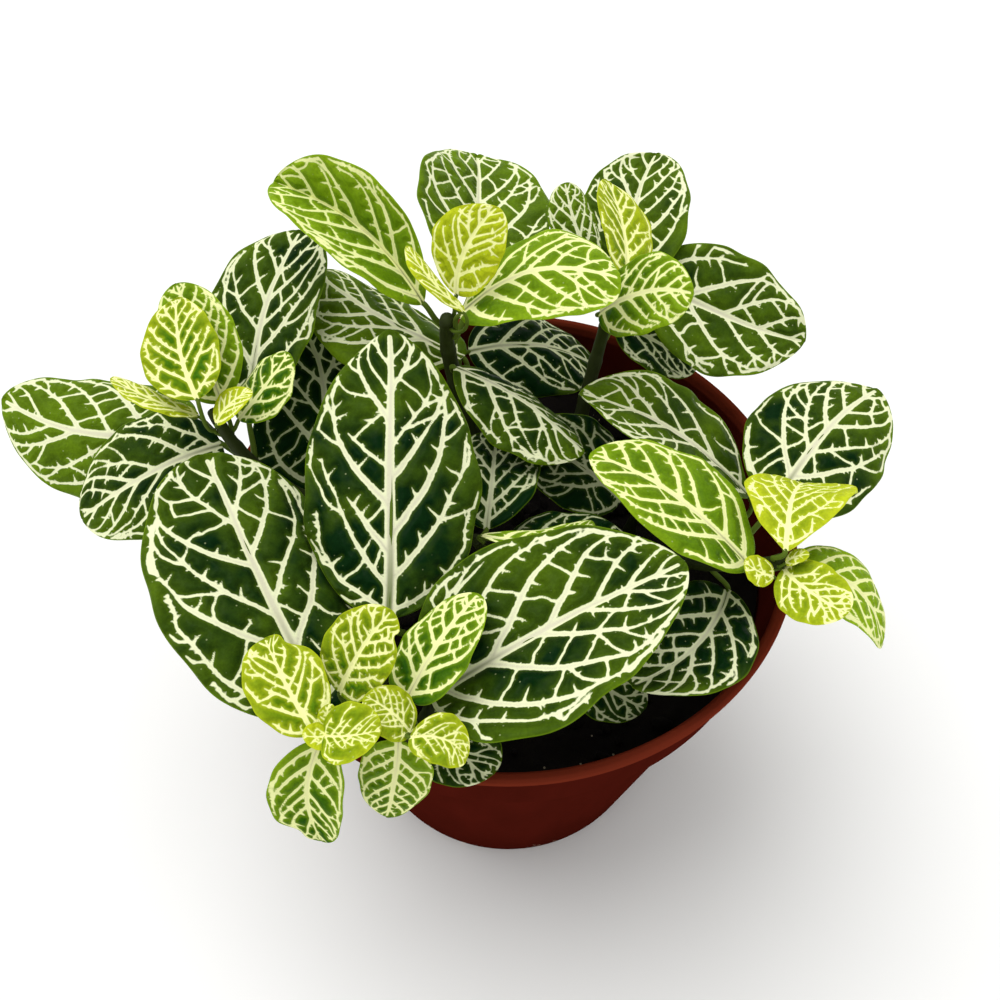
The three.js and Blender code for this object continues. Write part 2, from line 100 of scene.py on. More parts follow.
def turned(profile, sides):
    """Raises a circle ring by ring through (radius, height) pairs in millimetres, and closes its ends."""
    begin_piece()
    radius, height = profile[0]
    bpy.ops.mesh.primitive_circle_add(vertices=sides, radius=radius * mm, location=(0, 0, height * mm))
    bpy.ops.object.transform_apply(location=True, rotation=True, scale=True)
    bpy.ops.object.mode_set(mode="EDIT")
    bpy.ops.mesh.select_all(action="SELECT")
    for wider, higher in profile[1:]:
        bpy.ops.mesh.extrude_region_move(
            TRANSFORM_OT_translate={"value": (0, 0, (higher - height) * mm)})
        bpy.ops.transform.resize(
            value=(wider / radius, wider / radius, 1), center_override=(0, 0, higher * mm))
        radius, height = wider, higher
    bpy.ops.mesh.select_all(action="SELECT")
    bpy.ops.mesh.fill_holes(sides=0)
    bpy.ops.mesh.select_all(action="SELECT")
    bpy.ops.mesh.normals_make_consistent(inside=False)
    bpy.ops.object.mode_set(mode="OBJECT")
    return bpy.context.object


def finish_with(piece, kind, **settings):
    """Adds a modifier with its settings and applies it."""
    begin_piece(piece)
    modifier = piece.modifiers.new(kind.lower(), kind)
    for key, value in settings.items():
        setattr(modifier, key, value)
    bpy.ops.object.modifier_apply(modifier=modifier.name)


def linear(colour):
    """An sRGB hex colour as linear red, green, blue and a full alpha."""
    parts = [int(colour[i:i + 2], 16) / 255 for i in (1, 3, 5)]
    return [c / 12.92 if c <= 0.04045 else ((c + 0.055) / 1.055) ** 2.4 for c in parts] + [1]


def new_material(name):
    """A material with an empty node tree."""
    material = bpy.data.materials.new(name)
    material.use_nodes = True
    material.node_tree.nodes.clear()
    return material


def add(material, kind, links=(), **settings):
    """Adds a shader node: links are (input, source node, output), and settings are properties, which
    come first, or sockets."""
    node = material.node_tree.nodes.new("ShaderNode" + kind)
    for key, value in settings.items():
        if hasattr(node, key):
            setattr(node, key, value)
        else:
            node.inputs[key.replace("_", " ")].default_value = value
    for socket, source, output in links:
        material.node_tree.links.new(source.outputs[output], node.inputs[socket])
    return node


def ramp(low, high, start=0, end=1):
    """Settings that turn the range from low to high into the one from start to end."""
    return dict(From_Min=low, From_Max=high, To_Min=start, To_Max=end)


collar_base = pot_height - rim_height - collar_height
pot_profile = [
    (hub, lift), (hub + hub_slope, groove), (foot_radius - foot_ring, groove),
    (foot_radius - foot_ring, 0), (foot_radius, 0), (body_top, collar_base - ledge),
    (collar_foot, collar_base), (collar_top, pot_height - rim_height),
    (rim_radius - rim_edge, pot_height - rim_height),
    (rim_radius, pot_height - rim_height + rim_edge), (rim_radius, pot_height - rim_edge),
    (rim_radius - rim_edge, pot_height), (collar_top - wall + rim_edge, pot_height),
    (collar_top - wall, pot_height - rim_edge), (collar_foot - wall, collar_base),
    (body_top - wall, collar_base - ledge), (foot_radius - wall, floor_height),
]
pot = turned(pot_profile, pot_sides)
pot.name = "moulded_pot"
finish_with(pot, "BEVEL", width=pot_rounding * mm, segments=3, limit_method="ANGLE",
            angle_limit=edge_angle)
for i in range(drain_count):
    around = i * math.tau / drain_count
    begin_piece()
    bpy.ops.mesh.primitive_cylinder_add(
        vertices=drain_sides, radius=drain_radius * mm, depth=3 * floor_height * mm,
        location=(drain_circle * mm * math.cos(around), drain_circle * mm * math.sin(around), 0))
    drain = bpy.context.object
    finish_with(pot, "BOOLEAN", operation="DIFFERENCE", solver="EXACT", object=drain)
    bpy.data.objects.remove(drain)
begin_piece(pot)
bpy.ops.object.shade_smooth_by_angle(angle=crease_angle)

# Polypropylene, moulded and matt in even light. Faint flow marks 11 mm wide run up the wall, and the
# mould's grain is 0.45 mm. The rim's top is painted a paler red as a painted highlight. Dried splashes of
# soil water show as pale specks, one to every 4 mm or so. They are 1.2 mm across at the foot and fade
# out 12 mm up.
# heights in mm over which the painted highlight on the rim's top fades in
rim_highlight_from, rim_highlight_to = 93.3, 94
splash_height = 12
plastic = new_material("moulded_polypropylene_brick_red")
place = add(plastic, "TexCoord")
height_of = add(plastic, "SeparateXYZ", [("Vector", place, "Object")])
flow_marks = add(plastic, "Mapping", [("Vector", place, "Object")], Scale=(1, 1, 0.15))
marks = add(plastic, "TexNoise", [("Vector", flow_marks, "Vector")],
            Scale=0.09 / mm, Detail=4, Roughness=0.6)
grain = add(plastic, "TexNoise", [("Vector", place, "Object")], Scale=2.2 / mm, Detail=2)
red = add(plastic, "Mix", [("Factor", marks, "Fac")],
          data_type="RGBA", A=linear("#3a1009"), B=linear("#521810"))
# painted highlight: the rim's top turns a paler red
painted_rim_highlight = add(plastic, "MapRange", [("Value", height_of, "Z")],
               **ramp(rim_highlight_from * mm, rim_highlight_to * mm))
red_with_rim_highlight = add(plastic, "Mix", [("Factor", painted_rim_highlight, "Result"), ("A", red, "Result")],
              data_type="RGBA", B=linear("#6e2a1a"))
splash_cells = add(plastic, "TexVoronoi", [("Vector", place, "Object")], Scale=0.26 / mm)
splash_size = add(plastic, "MapRange", [("Value", height_of, "Z")],
                  **ramp(0, splash_height * mm, 0.16, 0))
splash = add(plastic, "Math", [(0, splash_cells, "Distance"), (1, splash_size, "Result")],
             operation="LESS_THAN")
dusty = add(plastic, "Mix", [("Factor", splash, "Value"), ("A", red_with_rim_highlight, "Result")],
            data_type="RGBA", B=linear("#a08472"))
gloss = add(plastic, "MapRange", [("Value", marks, "Fac")], **ramp(0, 1, 0.3, 0.42))
relief = add(plastic, "Bump", [("Height", grain, "Fac")], Strength=0.12, Distance=0.05 * mm)
pot_shader = add(plastic, "BsdfPrincipled", [("Base Color", dusty, "Result"),
                 ("Roughness", gloss, "Result"), ("Normal", relief, "Normal")],
                 IOR=1.49, Specular_IOR_Level=0)
add(plastic, "OutputMaterial", [("Surface", pot_shader, "BSDF")])
pot.data.materials.append(plastic)
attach(pot, "root")
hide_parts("pot")


# SOIL. A plug of dark peat, watered and crumbly, about 15 mm below the rim. Loose crumbs of peat and
# bark lie on it.
soil_top, soil_crown, soil_inset = 80, 1, 1.55
soil_gap = 0.3  # to the pot's floor and to the slope under its collar
soil_brink = 0.4  # how far the surface falls at the wall
soil_rings, soil_sides = 44, 132
clod_height, clods_per_mm, clod_sink = 1.3, 0.22, 0.5
soil_radius = collar_foot - soil_inset
crumb_count = 420
crumb_sizes = (0.5, 0.7, 0.9, 1.2, 1.7)
crumb_roughness = 0.35  # how uneven a crumb is, as a share of its radius
soil_crease = math.radians(50)

soil_profile = [
    (foot_radius - soil_inset, floor_height + soil_gap), (body_top - soil_inset, collar_base - ledge),
    (soil_radius, collar_base + soil_gap), (soil_radius, soil_top - soil_brink),
]
soil_profile += [(soil_radius * (1 - k / soil_rings), soil_top + soil_crown * k / soil_rings)
                 for k in range(soil_rings)]
soil = turned(soil_profile, soil_sides)
soil.name = "peat_plug"
for vertex in soil.data.vertices:
    x, y, z = vertex.co / mm
    inside = 1 - math.hypot(x, y) / soil_radius
    if z > soil_top - soil_brink / 2:
        rough = noise.fractal(Vector((x, y, 0)) * clods_per_mm, 0.7, 2.0, 5)
        vertex.co.z += mm * (clod_height * rough * min(1, inside * 12) - clod_sink)

begin_piece()
bpy.ops.mesh.primitive_ico_sphere_add(subdivisions=2, radius=1)
ball = bpy.context.object
ball_points = np.array([v.co for v in ball.data.vertices])
ball_faces = [tuple(p.vertices) for p in ball.data.polygons]
bpy.data.objects.remove(ball)
dice = random.Random(41)
crumb_parts = []
for i in range(crumb_count):
    radius = soil_radius * math.sqrt(dice.random()) * 0.96
    around = dice.uniform(0, math.tau)
    size = dice.choice(crumb_sizes) * dice.uniform(0.8, 1.2)
    turn_by = dice.uniform(0, math.tau)
    turn_about = Vector([dice.gauss(0, 1) for _ in range(3)]).normalized()
    turn = np.array(Matrix.Rotation(turn_by, 3, turn_about))
    apart = Vector((i * 3.1, 0, 0))
    shape = np.array([v * (1 + crumb_roughness * noise.noise(Vector(v) * 1.7 + apart))
                      for v in ball_points])
    shape = shape * (size * dice.uniform(0.8, 1.6), size, size * dice.uniform(0.5, 0.9))
    middle = (radius * math.cos(around), radius * math.sin(around),
              soil_top + soil_crown * (1 - radius / soil_radius) + 0.1 * size)
    crumb_parts.append(shape @ turn.T + middle)
crumb_faces = [tuple(v + i * len(ball_points) for v in face)
               for i in range(crumb_count) for face in ball_faces]
crumbs_mesh = bpy.data.meshes.new("peat_crumbs")
crumbs_mesh.from_pydata((np.concatenate(crumb_parts) * mm).tolist(), [], crumb_faces)
crumbs = bpy.data.objects.new("peat_crumbs", crumbs_mesh)
bpy.context.collection.objects.link(crumbs)


def join_to(piece, extra):
    """Makes extra part of the piece."""
    begin_piece(extra, piece)
    bpy.ops.object.join()


join_to(soil, crumbs)
bpy.ops.object.shade_smooth_by_angle(angle=soil_crease)

# Peat, damp and matt: dark brown, and painted nearly black as painted shade for the pot's shadowed
# inside, browner in clods 2.4 mm across, and with a few pale grains of perlite about 0.5 mm across.
peat = new_material("damp_sphagnum_peat")
place = add(peat, "TexCoord")
clods = add(peat, "TexNoise", [("Vector", place, "Object")], Scale=0.42 / mm, Detail=6, Roughness=0.7)
# nearly black: the peat's own dark brown with painted shade
peat_with_painted_shade = add(peat, "Mix", [("Factor", clods, "Fac")],
            data_type="RGBA", A=linear("#060504"), B=linear("#160f0b"))
grains = add(peat, "TexVoronoi", [("Vector", place, "Object")], Scale=0.3 / mm)
pale = add(peat, "Math", [(0, grains, "Distance")], operation="LESS_THAN")
pale.inputs[1].default_value = 0.07  # a grain's radius, as a share of its 3.3 mm cell
speckled = add(peat, "Mix", [("Factor", pale, "Value"), ("A", peat_with_painted_shade, "Result")],
               data_type="RGBA", B=linear("#8d8270"))
crumble = add(peat, "Bump", [("Height", clods, "Fac")], Strength=0.8, Distance=0.5 * mm)
peat_shader = add(peat, "BsdfPrincipled", [("Base Color", speckled, "Result"),
                  ("Normal", crumble, "Normal")], Roughness=0.9, IOR=1.4, Specular_IOR_Level=0.2)
add(peat, "OutputMaterial", [("Surface", peat_shader, "BSDF")])
soil.data.materials.append(peat)
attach(soil, "root")
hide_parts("soil")


# STEMS. Soft green shoots that rise from the soil and lean out over the rim. Each is a tapered round
# stalk with a slight knuckle every 9 mm or so, and fine hairs that take its shine off.
stem_steps, stem_sides = 48, 14
knuckle_every, knuckle_swell = 9, 0.14  # mm along the stem, and share of its radius
stem_rooting = 2.5  # how far a stem goes on down into the soil
seat_gap = 0.3
weld = 0.0005  # points nearer than this become one, at seams and poles
stem_curves = {}


def bezier(controls, u):
    """Places on a cubic curve, and the way it runs there."""
    p = np.array(controls, float)
    u = np.atleast_1d(np.asarray(u, float))[:, None]
    v = 1 - u
    places = v ** 3 * p[0] + 3 * v * v * u * p[1] + 3 * v * u * u * p[2] + u ** 3 * p[3]
    ways = 3 * (v * v * (p[1] - p[0]) + 2 * v * u * (p[2] - p[1]) + u * u * (p[3] - p[2]))
    return places, ways / np.linalg.norm(ways, axis=1, keepdims=True)


def sheet_of(rows, columns):
    """A flat grid, with its points' places from 0 to 1 along it and from -1 to 1 across it."""
    begin_piece()
    bpy.ops.mesh.primitive_grid_add(x_subdivisions=rows, y_subdivisions=columns, size=2)
    piece = bpy.context.object
    flat = np.zeros(len(piece.data.vertices) * 3)
    piece.data.vertices.foreach_get("co", flat)
    flat = flat.reshape(-1, 3)
    return piece, (flat[:, 0] + 1) / 2, flat[:, 1]


def shape_to(piece, places, closed=False):
    """Puts the piece's points at places in millimetres, and welds its seams and poles."""
    piece.data.vertices.foreach_set("co", (places * mm).ravel())
    begin_piece(piece)
    bpy.ops.object.mode_set(mode="EDIT")
    bpy.ops.mesh.select_all(action="SELECT")
    bpy.ops.mesh.remove_doubles(threshold=weld * mm)
    if closed:
        bpy.ops.mesh.select_all(action="SELECT")
        bpy.ops.mesh.normals_make_consistent(inside=False)
    bpy.ops.object.mode_set(mode="OBJECT")


def carried_frames(places, ways, across):
    """Two directions square to a path at each of its points, carried along without twist."""
    sides, ups = [], []
    for way in ways:
        across = across - way * (across @ way)
        across = across / np.linalg.norm(across)
        sides.append(across)
        ups.append(np.cross(way, across))
    return np.array(sides), np.array(ups)


def stalk(name, places, ways, radii, sides):
    """A closed round stalk through places."""
    places = np.concatenate([places[:1], places, places[-1:]])
    ways = np.concatenate([ways[:1], ways, ways[-1:]])
    radii = np.concatenate([[0], radii, [0]])
    across, ups = carried_frames(places, ways, np.array([1, 0.1, 0.02]))
    piece, u, v = sheet_of(len(places) - 1, sides)
    row = np.rint(u * (len(places) - 1)).astype(int)
    angle = (v + 1) * math.pi
    shape_to(piece, places[row] + radii[row, None] * (
        np.cos(angle)[:, None] * across[row] + np.sin(angle)[:, None] * ups[row]), closed=True)
    bpy.ops.object.shade_smooth()
    piece.name = name
    return piece


def rising(x, y, height):
    """A stem's foot on the soil, and the point straight above it that the curve sets out towards."""
    fall = math.hypot(x, y) / soil_radius
    return [(x, y, soil_top + soil_crown * (1 - fall) + seat_gap), (x, y, height)]


def seat_on(stem, at, target):
    """A seat just outside a stem, facing the target: the seat, and the way out of the stem."""
    controls, bottom, top = stem_curves[stem]
    (middle,), (along,) = bezier(controls, at)
    out = np.array(target, float) - middle
    out -= along * (out @ along)
    out /= np.linalg.norm(out)
    return middle + out * (bottom + (top - bottom) * at + seat_gap), out


# Stem tissue: green skin under fine hairs, with fibres about 1 mm apart, browner towards the foot.
brown_below, green_above = 84, 118
stem_skin = new_material("hairy_green_stem")
place = add(stem_skin, "TexCoord")
height_of = add(stem_skin, "SeparateXYZ", [("Vector", place, "Object")])
up_stem = add(stem_skin, "MapRange", [("Value", height_of, "Z")],
              **ramp(brown_below * mm, green_above * mm))
fibres = add(stem_skin, "TexNoise", [("Vector", place, "Object")], Scale=0.9 / mm, Detail=3)
greening = add(stem_skin, "Mix", [("Factor", up_stem, "Result")],
               data_type="RGBA", A=linear("#20270e"), B=linear("#333f14"))
mottled = add(stem_skin, "Mix", [("Factor", fibres, "Fac"), ("A", greening, "Result")],
              data_type="RGBA", blend_type="MULTIPLY", B=linear("#c9c2a6"))
hairs = add(stem_skin, "Bump", [("Height", fibres, "Fac")], Strength=0.5, Distance=0.12 * mm)
stem_shader = add(stem_skin, "BsdfPrincipled", [("Base Color", mottled, "Result"),
                  ("Normal", hairs, "Normal")], Roughness=0.55, IOR=1.42, Specular_IOR_Level=0.2)
add(stem_skin, "OutputMaterial", [("Surface", stem_shader, "BSDF")])


def make_stem(name, bottom, top, controls, rooted=True):
    """One stem on its curve, with its radius at the bottom and at the top."""
    stem_curves[name] = (controls, bottom, top)
    u = np.linspace(0, 1, stem_steps)
    places, ways = bezier(controls, u)
    length = np.concatenate([[0], np.cumsum(np.linalg.norm(np.diff(places, axis=0), axis=1))])
    radii = bottom + (top - bottom) * u
    radii = radii * (1 + knuckle_swell * np.exp(-((length[-1] - length) % knuckle_every - 1) ** 2))
    if rooted:
        places = np.concatenate([places[:1] - (0, 0, stem_rooting), places])
        ways = np.concatenate([ways[:1], ways])
        radii = np.concatenate([radii[:1], radii])
    piece = stalk(name.replace("stem", "shoot"), places, ways, radii, stem_sides)
    piece.data.materials.append(stem_skin)
    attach(piece, "root")
    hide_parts(name)


stem_rows = [
    ("stem_front", 2.1, 1.1, rising(-7, -14, 100) + [(-22, -46, 104), (-27.5, -60, 119)]),
    ("stem_left", 2, 1.1, rising(-22, -4, 97) + [(-51, -2.5, 100), (-54.5, -1.5, 128)]),
    ("stem_centre", 2.3, 1.3, rising(-5, 13, 104) + [(-14, 22, 116), (-11.5, 16.5, 134.5)]),
    ("stem_back_right", 1.9, 1.1, rising(14, 18, 98) + [(21, 36, 112), (21, 27.5, 129.5)]),
    ("stem_right", 1.9, 1.1, rising(17, -8, 100) + [(40, -22, 102), (48.3, -29, 120)]),
    ("stem_middle", 1.5, 1, rising(2, -6, 92) + [(-5, -14, 98), (-6, -19, 112)]),
    ("stem_low", 1.4, 1, rising(4, -22, 88) + [(7, -28, 88), (9, -33, 94)]),
    ("stem_low_right", 1.4, 1, rising(27, 4, 86) + [(28, 3, 89), (28, 2, 93)]),
]
for row in stem_rows:
    make_stem(*row)
fork_seat, fork_out = seat_on("stem_front", 0.52, (-12, -48, 110))
make_stem("stem_front_fork", 1.3, 1,
          [fork_seat, fork_seat + 5 * fork_out, (-14, -56, 106), (-15.5, -61, 117)], rooted=False)


# OLD LEAVES. The large dark leaves low on every shoot: thin soft blades, puffed up a little between
# the veins, each on a short stalk that runs on under it as a rib. The net of veins is cream white.
leaf_thickness = 0.34
thin_margin, thinnest = 1.2, 0.2  # how far in from the margin a blade thins, and down to what share
thickness_levels = 8
small_leaf, tiny_leaf = 20, 10  # leaves no longer than this have fewer veins and a finer mesh
blade_cell, small_cell, tiny_cell = 0.3, 0.2, 0.16  # spacing of a blade's points; a fine vein is as wide
puff_height, puff_reach = 0.5, 1  # how far the skin rises between veins, and over what distance
flat_margin = 0.6  # the outermost strip of a blade, where the skin rises less and less
vein_step = 0.35  # spacing of the points that a vein grows through
touching = 0.12  # a vein that comes this near to another one joins it
foot_spread = 80  # degrees at which side veins leave the midrib at the blade's very foot
side_stop, branch_stop = 0.91, 0.93  # how near they may come to the margin, as shares of the half width
# How the finer veins grow: the turn off the side veins' way in radians, the reach as a share of a cell,
# the nearest to the margin, the unsteadiness, the room that one needs ahead as a share of a cell, and
# how much it may curl back. A tooth has a length of its own in place of the cell.
habits = dict(
    fork=((0.5, 0.85), (1.5, 3), 0.94, 0.08, 0.5, 0.6),
    arch=((-0.1, 0.25), (1, 2.2), 0.955, 0.1, 0, 0),
    rung=((1, 1.5), (0.35, 0.8), 0.95, 0.12, 0.42, 0),
    spur=((-0.1, 0.35), (0.4, 1.3), 0.9, 0.12, 0.45, 0),
    tooth=((0.9, 1.4), (0.5, 1.1), 0.975, 0.1, 0.4, 0),
    twig=((0.7, 1.4), (0.25, 0.6), 0.95, 0.16, 0.3, 0),
)


def half_width(s, shoulder, tip):
    """Half the blade's width at s, as a share of its widest."""
    widest = shoulder / (shoulder + tip)
    peak = widest ** shoulder * (1 - widest) ** tip
    return s ** shoulder * (1 - s) ** tip / peak


def grow_veins(leaf, dice):
    """The veins on the flattened blade: lists of points and half widths, in millimetres from its foot."""
    long, half, midrib = leaf["length"], leaf["width"] / 2, leaf["midrib"]
    every, fine = leaf["cell"], leaf["fine"]
    veins, seen = [], []

    def margin(x):
        """Half the blade's width at x."""
        s = min(max(x / long, 0.001), 0.999)
        return half * half_width(s, leaf["shoulder"], leaf["tip"])

    def outwards(x, y):
        """How far out a place lies: 0 on the midrib and 1 on the margin."""
        return abs(y) / max(margin(x), 0.01)

    def keep(points, widths):
        """Adds a vein to the net, and the places where later veins can meet it."""
        points, widths = np.array(points, float), np.array(widths, float) / 2
        veins.append((points, widths))
        for a, b, wide, narrow in zip(points[:-1], points[1:], widths[:-1], widths[1:]):
            count = max(1, int(math.dist(a, b) / blade_cell))
            for k in range(count):
                seen.append((*(a + (b - a) * k / count), wide + (narrow - wide) * k / count))

    def nearest_of(others, x, y):
        """How far a place is from the nearest vein, and where that vein is."""
        gap = np.hypot(others[:, 0] - x, others[:, 1] - y) - others[:, 2]
        return gap.min(), others[gap.argmin()]

    def flow(x, y, side):
        """A side vein's way there, off the midrib: it sets out wide and bends round along the margin."""
        s = min(max(x / long, 0.0), 1.0)
        at_foot = max(0, 1 - s / 0.2) ** 1.5
        leaves_at = math.radians(leaf["spread"] + (foot_spread - leaf["spread"]) * at_foot - 10 * s)
        rise = (margin(x + 0.2) - margin(x - 0.2)) / 0.4
        along_margin = math.atan(max(min(rise, 3), -3))
        share = min(1, outwards(x, y) / 0.95) ** leaf["bend"]
        return side * (leaves_at * (1 - share) + along_margin * share)

    def run(place, side, turn, reach, start, end, edge, clear, wiggle, curl=0, shy=0, room=0):
        """Grows one vein at `turn` off the flow, until it has its reach, meets a vein or nears the margin.
        It needs `room` ahead to start, and a `shy` one stops short of the vein that it comes near."""
        x, y = place
        others = np.array(seen)
        if room:
            angle = flow(x, y, side) + turn
            ahead = np.hypot(others[:, 0] - x - room * math.cos(angle),
                             others[:, 1] - y - room * math.sin(angle)) - others[:, 2]
            if ahead.min() < 0.5 * room:
                return None, False
        points, lean, met = [(x, y)], dice.gauss(0, wiggle), False
        count = max(2, int(reach / vein_step))
        for k in range(count):
            lean = 0.8 * lean + dice.gauss(0, wiggle)
            angle = flow(x, y, side) + turn * (1 - curl * k / count) + lean
            x, y = x + vein_step * math.cos(angle), y + vein_step * math.sin(angle)
            if outwards(x, y) > edge or not 0 < x < 0.985 * long:
                break
            if k * vein_step > clear:
                gap, nearest = nearest_of(others, x, y)
                if shy and k * vein_step > 3 * clear and gap < shy:
                    break
                if gap < touching:
                    points.append(tuple(nearest[:2]))
                    met = True
                    break
            points.append((x, y))
        if len(points) < 3:
            return None, met
        share = np.linspace(0, 1, len(points))
        last = max(end, 0.75 * start) if met else end
        uneven = np.clip([1 + dice.gauss(0, 0.07) for _ in points], 0.8, 1.25)
        taper = 1 if met else 1 - 0.6 * share ** 4
        keep(points, (start + (last - start) * share ** 1.2) * uneven * taper)
        return points, met

    def sprout(kind, place, side, hand, start, end, clear, unit=every, units=0):
        """Grows a finer vein of one kind, turned towards `hand`, and as long as chance or `units` says."""
        turns, reaches, edge, wiggle, room, curls = habits[kind]
        turn = hand * dice.uniform(*turns)
        reach = (units or dice.uniform(*reaches)) * unit
        curl = dice.uniform(0, curls) if curls else 0
        return run(place, side, turn, reach, start, end, edge, clear, wiggle, curl, room=room * unit)

    # The midrib, a little bowed, and the side veins on either side of it.
    s = np.linspace(0, 0.97, 30)
    bow = 0.024 * long * np.sin(6 * s + dice.uniform(0, 6)) * s * (1 - s)
    keep(np.stack([s * long, bow], 1), midrib * (1 - 0.66 * s ** 1.3))
    spine = veins[0][0]

    def on_midrib(share):
        return [float(np.interp(share * long, spine[:, 0], spine[:, i])) for i in (0, 1)]

    side_veins, ends = [], []
    for side, starts in ((1, leaf["left"]), (-1, leaf["right"])):
        for share, strength in starts:
            start = midrib * (1 - 0.35 * share) * 0.68 * strength
            reach = long * leaf["reach"] * (0.06 + 0.94 * strength)
            points, met = run(on_midrib(share), side, dice.gauss(0, 0.05), reach, start,
                              max(fine * 1.3, 0.42 * start), side_stop + dice.uniform(-0.03, 0.02),
                              clear=1.1 * midrib, wiggle=0.05, shy=0.35 * every)
            if points:
                side_veins.append((side, points, start))
                if not met:
                    ends.append((side, points[-1], start * 0.6))

    # Forks: a side vein splits, and its outer arm runs on towards the margin.
    for side, points, start in side_veins:
        at = dice.uniform(0.9, 1.5) * every
        while at < vein_step * (len(points) - 2):
            k = int(at / vein_step)
            thick = start * (1 - 0.5 * k / len(points))
            fork, met = sprout("fork", points[k], side, side, max(fine * 1.2, thick * 0.68), fine,
                               clear=thick * 0.9)
            if fork and not met:
                ends.append((side, fork[-1], max(fine * 1.2, thick * 0.5)))
            at += every * dice.uniform(0.85, 1.35)

    # Arches close the outer cells along the margin.
    for side, place, thick in ends:
        if dice.random() < leaf["arches"] and outwards(*place) > 0.5:
            sprout("arch", place, side, -side, thick, fine, clear=0.6)

    # Rungs stand square on a side vein's inner side, and some reach the next vein.
    for side, points, start in side_veins:
        at = dice.uniform(0.6, 1) * every
        while at < vein_step * (len(points) - 1):
            k = int(at / vein_step)
            thick = start * (1 - 0.5 * k / len(points))
            whole = dice.random() < leaf["closed"]
            sprout("rung", points[k], side, -side, max(fine * 1.1, thick * 0.5),
                   fine * (1 if whole else 0.8), clear=thick * 0.9, units=3 if whole else 0)
            at += every * dice.uniform(0.8, 1.3)

    # Spurs stand on the midrib between the side veins.
    for side in (1, -1):
        at = dice.uniform(0.05, 0.1)
        while at < 0.93:
            sprout("spur", on_midrib(at), side, side, max(fine * 1.2, midrib * 0.26), fine * 0.8,
                   clear=midrib * 0.8)
            at += dice.uniform(0.9, 2) * every / long

    # Where a patch is still bare, the nearest vein sends a branch into it.
    for _ in range(int(leaf["patches"])):
        x = dice.uniform(0.02, 0.97) * long
        y = dice.uniform(-0.88, 0.88) * margin(x)
        gap, foot = nearest_of(np.array(seen), x, y)
        if gap > 0.62 * every:
            side = 1 if y > 0 else -1
            way = math.atan2(y - foot[1], x - foot[0])
            run(foot[:2], side, way - flow(foot[0], foot[1], side), gap + 0.9 * every,
                fine * 1.3, fine, branch_stop, clear=2 * foot[2] + 0.3, wiggle=0.14, curl=0.3)

    # Teeth point out to the margin, twigs end inside the cells, and thorns make the net ragged.
    for points, widths in veins[1:]:
        at = 1
        while at < len(points) - 1:
            if outwards(*points[at]) > 0.78:
                side = 1 if points[at][1] > 0 else -1
                sprout("tooth", points[at], side, side, fine * 1.1, fine * 0.6, clear=widths[at] + 0.2,
                       unit=leaf["tooth"])
            at += max(2, int(dice.uniform(0.6, 1.3) * leaf["tooth"] / vein_step))
    for points, widths in veins[1:]:
        for k in range(2, len(points) - 1):
            if dice.random() < leaf["twigs"]:
                side = 1 if points[k][1] > 0 else -1
                sprout("twig", points[k], side, dice.choice((-1, 1)), fine, fine * 0.6,
                       clear=widths[k] * 1.6)
    for points, widths in list(veins):
        for a, b, wide in zip(points[:-1], points[1:], widths[:-1]):
            far = math.dist(a, b)
            for _ in range(int(far / leaf["thorn"] + dice.random())):
                ahead = (b - a) / max(far, 1e-6)
                out = np.array([-ahead[1], ahead[0]]) * dice.choice((-1, 1))
                foot = a + (b - a) * dice.random()
                end = foot + out * (wide + dice.uniform(0.15, 0.45)) + ahead * dice.uniform(0, 0.3)
                veins.append((np.array([foot, end]), np.array([min(0.35, wide * 0.8), 0.1])))
    return veins


def vein_depth(x, y, veins, web, reach=3.0):
    """How deep each place lies in the nearest vein: the vein's half width less the way to its middle.
    Where two veins are nearer than `web`, the corner between them fills in."""
    best = np.full(len(x), -reach)
    for points, widths in veins:
        low, high = points.min(0) - reach, points.max(0) + reach
        near = np.nonzero((x > low[0]) & (x < high[0]) & (y > low[1]) & (y < high[1]))[0]
        px, py, found = x[near], y[near], np.full(len(near), -reach)
        for a, b, wide, narrow in zip(points[:-1], points[1:], widths[:-1], widths[1:]):
            dx, dy = b - a
            f = np.clip(((px - a[0]) * dx + (py - a[1]) * dy) / (dx * dx + dy * dy + 1e-12), 0, 1)
            np.maximum(found, wide + (narrow - wide) * f
                       - np.hypot(px - a[0] - f * dx, py - a[1] - f * dy), out=found)
        if len(points) > 2:
            corner = np.maximum(1 - np.abs(best[near] - found) / web, 0)
            best[near] = np.maximum(best[near], found) + corner ** 2 * web / 4 * (found > -1.5 * web)
        else:
            best[near] = np.maximum(best[near], found)
    return best


def side_starts(count, strong, weak, dice, first=0.03, last=0.88):
    """Where side veins leave the midrib, and how strong each is."""
    starts = []
    for i in range(count):
        share = first + (last - first) * max(0, i + dice.uniform(-0.15, 0.15)) / (count - 1)
        strength = (strong if i % 2 else weak) * (1 - 0.22 * share) * dice.uniform(0.92, 1.08)
        starts.append((share, strength))
    return starts


def chord_frame(heading, rise, roll):
    """A blade's directions: along to the tip, left across it and up out of its face."""
    h, r, w = math.radians(heading), math.radians(rise), math.radians(roll)
    along = np.array([math.cos(h) * math.cos(r), math.sin(h) * math.cos(r), math.sin(r)])
    level = np.array([-math.sin(h), math.cos(h), 0])
    steep = np.cross(along, level)
    left = level * math.cos(w) + steep * math.sin(w)
    up = steep * math.cos(w) - level * math.sin(w)
    return along, left, up


